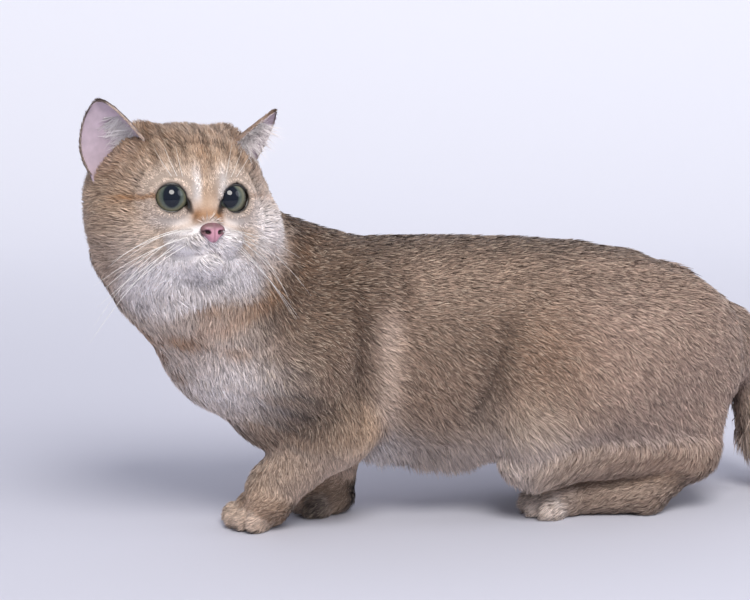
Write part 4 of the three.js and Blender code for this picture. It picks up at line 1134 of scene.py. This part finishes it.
low, high = nose_mass[1] - 1.5, nose_mass[2] + 1.5
axes = [np.arange(a, b, 0.42) for a, b in zip(low, high)]
spots = np.stack(np.meshgrid(*axes, indexing="ij"), -1)
nose_points, nose_quads = net(nose_surface(spots.reshape(-1, 3)).reshape(spots.shape[:3]), axes)
for _ in range(2):
    nose_points = mix(nose_points, neighbours_mean(nose_points, nose_quads), 0.4)
nose = new_piece("nose_leather", nose_points, nose_quads, NOSE)
q = head_of(nose_points)
ax = np.abs(q[:, 0] - MIDLINE)
nostrils = np.min([egg([MIDLINE + s * 3.7, -50.0, -12.2], [2.3, 3.6, 1.7], [0, s * -14, s * 22])[0](q)
                   for s in SIDES.values()], axis=0)
colour = np.repeat(linear(0xC08A9C)[None], len(q), 0)
edge = np.maximum(step(ax, 2.8, 5.6), step(q[:, 2], -11.8, -8.6))
colour = mix(colour, linear(0x6E5050), (0.9 * edge)[:, None])
# painted shade: the nostrils and their rims are painted near black, where shade falls in the holes
colour = mix(colour, linear(0x1E0C0A), fade(nostrils, -0.9, 0.0)[:, None])
colour = mix(colour, linear(0x8A5F6C), fade(ax, 0.2, 0.8)[:, None] * 0.6)
set_colour(nose.data, "coat", colour)
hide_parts("nose")


# Ears: thin cups with short fur behind

EARS = {
    "left": dict(inner=(26, -15, 37), outer=(47, 13, 28), tip=(47.5, -13, 54), deep=7, bow=0,
                 blunt=0.3, round=0.5),
    "right": dict(inner=(-24, -13, 37), outer=(-51, 4, 17), tip=(-51.5, -12, 56.6), deep=9, bow=4,
                  blunt=0.8, round=0.36),
}


def ear_sheet(side, rise, u, lift):
    """Points of an ear in the head's frame: rise to the tip, u from rim to rim, lift towards the opening."""
    e = EARS[side]
    a, b, t = (np.array(e[key], float) for key in ("inner", "outer", "tip"))
    root = (a + b) / 2
    up, across = t - root, b - a
    half = np.linalg.norm(across) / 2
    across = across / (2 * half)
    front = np.cross(across, up) * SIDES[side]
    front /= np.linalg.norm(front)
    above = np.maximum(rise, 0)
    narrow = np.maximum(1 - above, 0) ** e["round"]
    inner = mix(1 - above, np.maximum(1 - above, 0) ** 0.5, e["blunt"])
    sway = (half - lift) * np.where(u > 0, narrow, inner) * np.sin(u * np.pi / 2)
    sway = sway + e["bow"] * np.sin(np.pi * above) * np.maximum(u, 0)
    ahead = lift - e["deep"] * (1 - 0.4 * above) * narrow * np.cos(u * np.pi / 2)
    return root + rise[:, None] * up + sway[:, None] * across + ahead[:, None] * front


def ear_normal(side, rise, u, lift):
    here = ear_sheet(side, rise, u, lift)
    along = ear_sheet(side, rise + 0.01, u, lift) - here
    over = ear_sheet(side, rise, u + 0.01, lift) - here
    return unit(np.cross(over, along)) * SIDES[side], unit(along)


ROWS, COLUMNS = 36, 32
RIM_AT = 0.985                                  # how near a shell comes to the full width and height
SHEETS = (0.8, 1.9)                             # lifts of the shell's back and of its inside


def ear_shell(side):
    """Points in the head's frame and faces of an ear: two sheets and the edge between them."""
    rise = -0.22 + 1.215 * (1 - (1 - np.linspace(0, 1, ROWS)) ** 1.4)
    rise, u = (g.ravel() for g in np.meshgrid(rise, np.linspace(-1, 1, COLUMNS), indexing="ij"))
    n = ROWS * COLUMNS
    index = np.arange(n).reshape(ROWS, COLUMNS)
    faces = grid_faces(index)
    rim = np.concatenate([index[:, 0], index[-1, 1:], index[::-1, -1][1:], index[0, ::-1][1:-1]])
    edge = np.stack([rim, np.roll(rim, -1), np.roll(rim, -1) + n, rim + n], 1)
    faces = np.concatenate([faces, faces[:, ::-1] + n, edge])
    points = np.concatenate([ear_sheet(side, rise, u * RIM_AT, lift) for lift in SHEETS])
    return points, faces if side == "left" else faces[:, ::-1]


# Hairs of an ear: number, length, width and lift, then between what rises and what places across they stand
EAR_HAIR = {
    "behind": (5200, 3.4, 0.45, 14, (-0.1, 0.97), (-1, 1)),
    "rim": (1700, 2.0, 0.32, 16, (0, RIM_AT), (-RIM_AT, RIM_AT)),
    "within": (620, 17, 0.34, 17, (-0.02, 0.6), (-0.97, -0.35)),
    "down": (2600, 2.2, 0.3, 10, (-0.1, 0.9), (-0.97, 0.97)),
}


def ear_hair(side, kind):
    """Short fur behind, a fringe on the rims, long pale hairs within, across the cup, or down on its skin."""
    count, long, wide, steep, rises, places_across = EAR_HAIR[kind]
    count = int(count * (1))
    at_back = kind in ("behind", "rim")
    r = rng.uniform(*rises, count)
    if kind == "rim":
        u, lift = rng.choice(places_across, count), rng.uniform(*SHEETS, count)
    else:
        u, lift = rng.uniform(*places_across, count), np.full(count, SHEETS[0 if at_back else 1])
    normal, along = ear_normal(side, r, u, lift)
    over = np.cross(normal, along)
    if at_back:
        normal = -normal
    if kind == "rim":
        outward = unit(over * np.sign(u)[:, None])
        lie = unit(along * 0.9 + outward * 0.5)
        normal = unit(normal + outward * 0.4)
    elif kind == "within":
        lie = unit(over) * rng.uniform(0.6, 1.0, (count, 1))
        lie = unit(lie + along * rng.uniform(-0.5, 0.35, (count, 1)))
    else:
        lie = unit(along + over * rng.normal(0, 0.25, (count, 1)))
    base = {"behind": mix(COAT["back"], COAT["stripe"], (0.8 * step(r, 0.72, 0.95))[:, None]),
            "rim": mix(COAT["cream"], COAT["dark"], (0.9 * step(r, 0.8, 0.92))[:, None]),
            "within": COAT["white"], "down": mix(linear(0xCDBCC8), COAT["white"], 0.3)}[kind]
    base = base * rng.uniform(0.85, 1.1, (count, 1))
    return dict(root=from_head(ear_sheet(side, r, u, lift)),
                normal=normal @ HEAD_TURN.T, lie=lie @ HEAD_TURN.T,
                length=long * rng.uniform(0.6, 1.25, count), width=wide * rng.uniform(0.7, 1.3, count),
                lift=np.radians(steep) * rng.uniform(0.6, 1.4, count), roll=rng.normal(0, 0.5, count),
                bend=np.full(count, 0.25), deep=base * 0.7, mid=base, tip=base * 1.08,
                spread=np.stack([0.25 + 0.24 * u + (0 if side == "left" else 0.5),
                                 0.06 + 0.42 * (r + 0.15) / 1.2 + (0 if at_back else 0.48)], 1))


tufts = []
for side in SIDES:
    shell_points, shell_faces = ear_shell(side)
    piece = new_piece("ear_shell_" + side, from_head(shell_points), shell_faces, EAR)
    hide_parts("ear_" + side)
    tufts += [ear_hair(side, kind) for kind in EAR_HAIR]
piece = fur_piece("ear_fur", {key: np.concatenate([t[key] for t in tufts]) for key in tufts[0]}, FUR)


# Whiskers

whisker_points, whisker_faces = [], []


def whisker(at, way, long, droop, thick):
    """A tapered bristle, curving down."""
    at, way = np.array(at, float), np.array(way, float)
    way /= np.linalg.norm(way)
    side = np.cross(way, [0, 0, 1.0])
    side /= np.linalg.norm(side)
    up = np.cross(side, way)
    base = len(whisker_points)
    steps = 12
    for n in range(steps + 1):
        t = n / steps
        middle = at + way * long * t - np.array([0, 0, 1]) * droop * t * t
        r = thick * (1 - t) ** 0.7 + 0.03
        whisker_points.extend(middle + r * (np.cos(a) * side + np.sin(a) * up) for a in (0, 2.094, 4.189))
    for n in range(steps):
        for k in range(3):
            a, b = base + 3 * n + k, base + 3 * n + (k + 1) % 3
            whisker_faces.append((a, b, b + 3, a + 3))


for s in SIDES.values():
    for row in range(3):
        for n in range(3):
            at = (MIDLINE + s * (10.5 + 3 * n), -44.4 + 2.4 * n + 0.4 * row, -11.2 - 3.2 * row)
            down = -0.05 - 0.26 * row - 0.14 * n + rng.normal(0, 0.09)
            way = (s * 1.0, 0.10 + 0.16 * n + 0.05 * row, down)
            whisker(at, way, rng.uniform(34, 60), rng.uniform(6, 26), 0.2)
    for n in range(3):
        whisker((s * (12 + 3 * n), -37, 17), (s * (0.25 + 0.25 * n), 0.1, 1), rng.uniform(12, 20), -2, 0.1)
WHISKER = bare_skin("whisker_keratin", 0xF3EFEA, 0.35, 0.02)
whiskers = new_piece("whiskers", from_head(np.array(whisker_points)), np.array(whisker_faces), WHISKER)


# Studio: seamless pale paper, curved up behind, and soft lights

def studio_paper():
    """Matt background paper, cool white. From 0.2 m behind the cat's middle it glows, more the further back it
    lies, so its curve and upright part grow lighter: painted light standing for a light behind it.
    """
    material, tree = new_material("matt_paper")
    place = add(tree, "ShaderNodeTexCoord")
    tooth = add(tree, "ShaderNodeTexNoise", {"Scale": 1 / 0.002, "Detail": 2},
                {"Vector": place.outputs["Object"]})
    bump = add(tree, "ShaderNodeBump", {"Strength": 0.05, "Distance": 0.0002},
               {"Height": tooth.outputs["Fac"]})
    parts = add(tree, "ShaderNodeSeparateXYZ", (), {"Vector": place.outputs["Object"]})
    # painted light: the paper's glow, growing with its depth behind the cat
    behind = add(tree, "ShaderNodeMapRange", {"From Min": 0.2, "From Max": 2.4, "To Max": 0.62},
                 {"Value": parts.outputs["Y"]})
    finish_material(tree, {"Base Color": (*linear(0xCBCCD8), 1), "Roughness": 0.9, "Specular IOR Level": 0.2,
                           "Emission Color": (*linear(0xF8F8FC), 1)},
                    {"Normal": bump.outputs[0], "Emission Strength": behind.outputs[0]})
    return material


profile = [(-6.0, 0.0), (1.1, 0.0), *((1.1 + 0.7 * np.sin(a), 0.7 - 0.7 * np.cos(a))
                                      for a in np.linspace(0.1, 1.5, 15)), (1.8, 3.5)]
paper_points = np.array([(x, y, z) for y, z in profile for x in (-6.0, 6.0)])
paper_faces = [(2 * n, 2 * n + 1, 2 * n + 3, 2 * n + 2) for n in range(len(profile) - 1)]
floor = put(smooth_mesh("paper", paper_points, paper_faces), studio_paper())
floor.rotation_euler = (0, 0, AZIMUTH)

world = bpy.data.worlds.new("studio")
world.use_nodes = True
world.node_tree.nodes["Background"].inputs["Color"].default_value = (*linear(0xEEF0FA), 1)
world.node_tree.nodes["Background"].inputs["Strength"].default_value = 0.54
bpy.context.scene.world = world


def soft_light(name, at, aim, size, power, code):
    lamp = bpy.data.lights.new(name, "AREA")
    lamp.shape = "DISK"
    lamp.size = size
    lamp.energy = power
    lamp.color = linear(code)
    light = bpy.data.objects.new(name, lamp)
    light.location = at
    light.rotation_euler = (Vector(aim) - Vector(at)).to_track_quat("-Z", "Y").to_euler()
    bpy.context.scene.collection.objects.link(light)


soft_light("key", (-0.18, -1.45, 1.5), (-0.05, 0, 0.12), 0.95, 33, 0xFFFBF6)
soft_light("side", (1.5, -1.0, 1.2), (0.05, 0, 0.1), 1.2, 8, 0xF6F8FF)

bpy.context.view_layer.update()
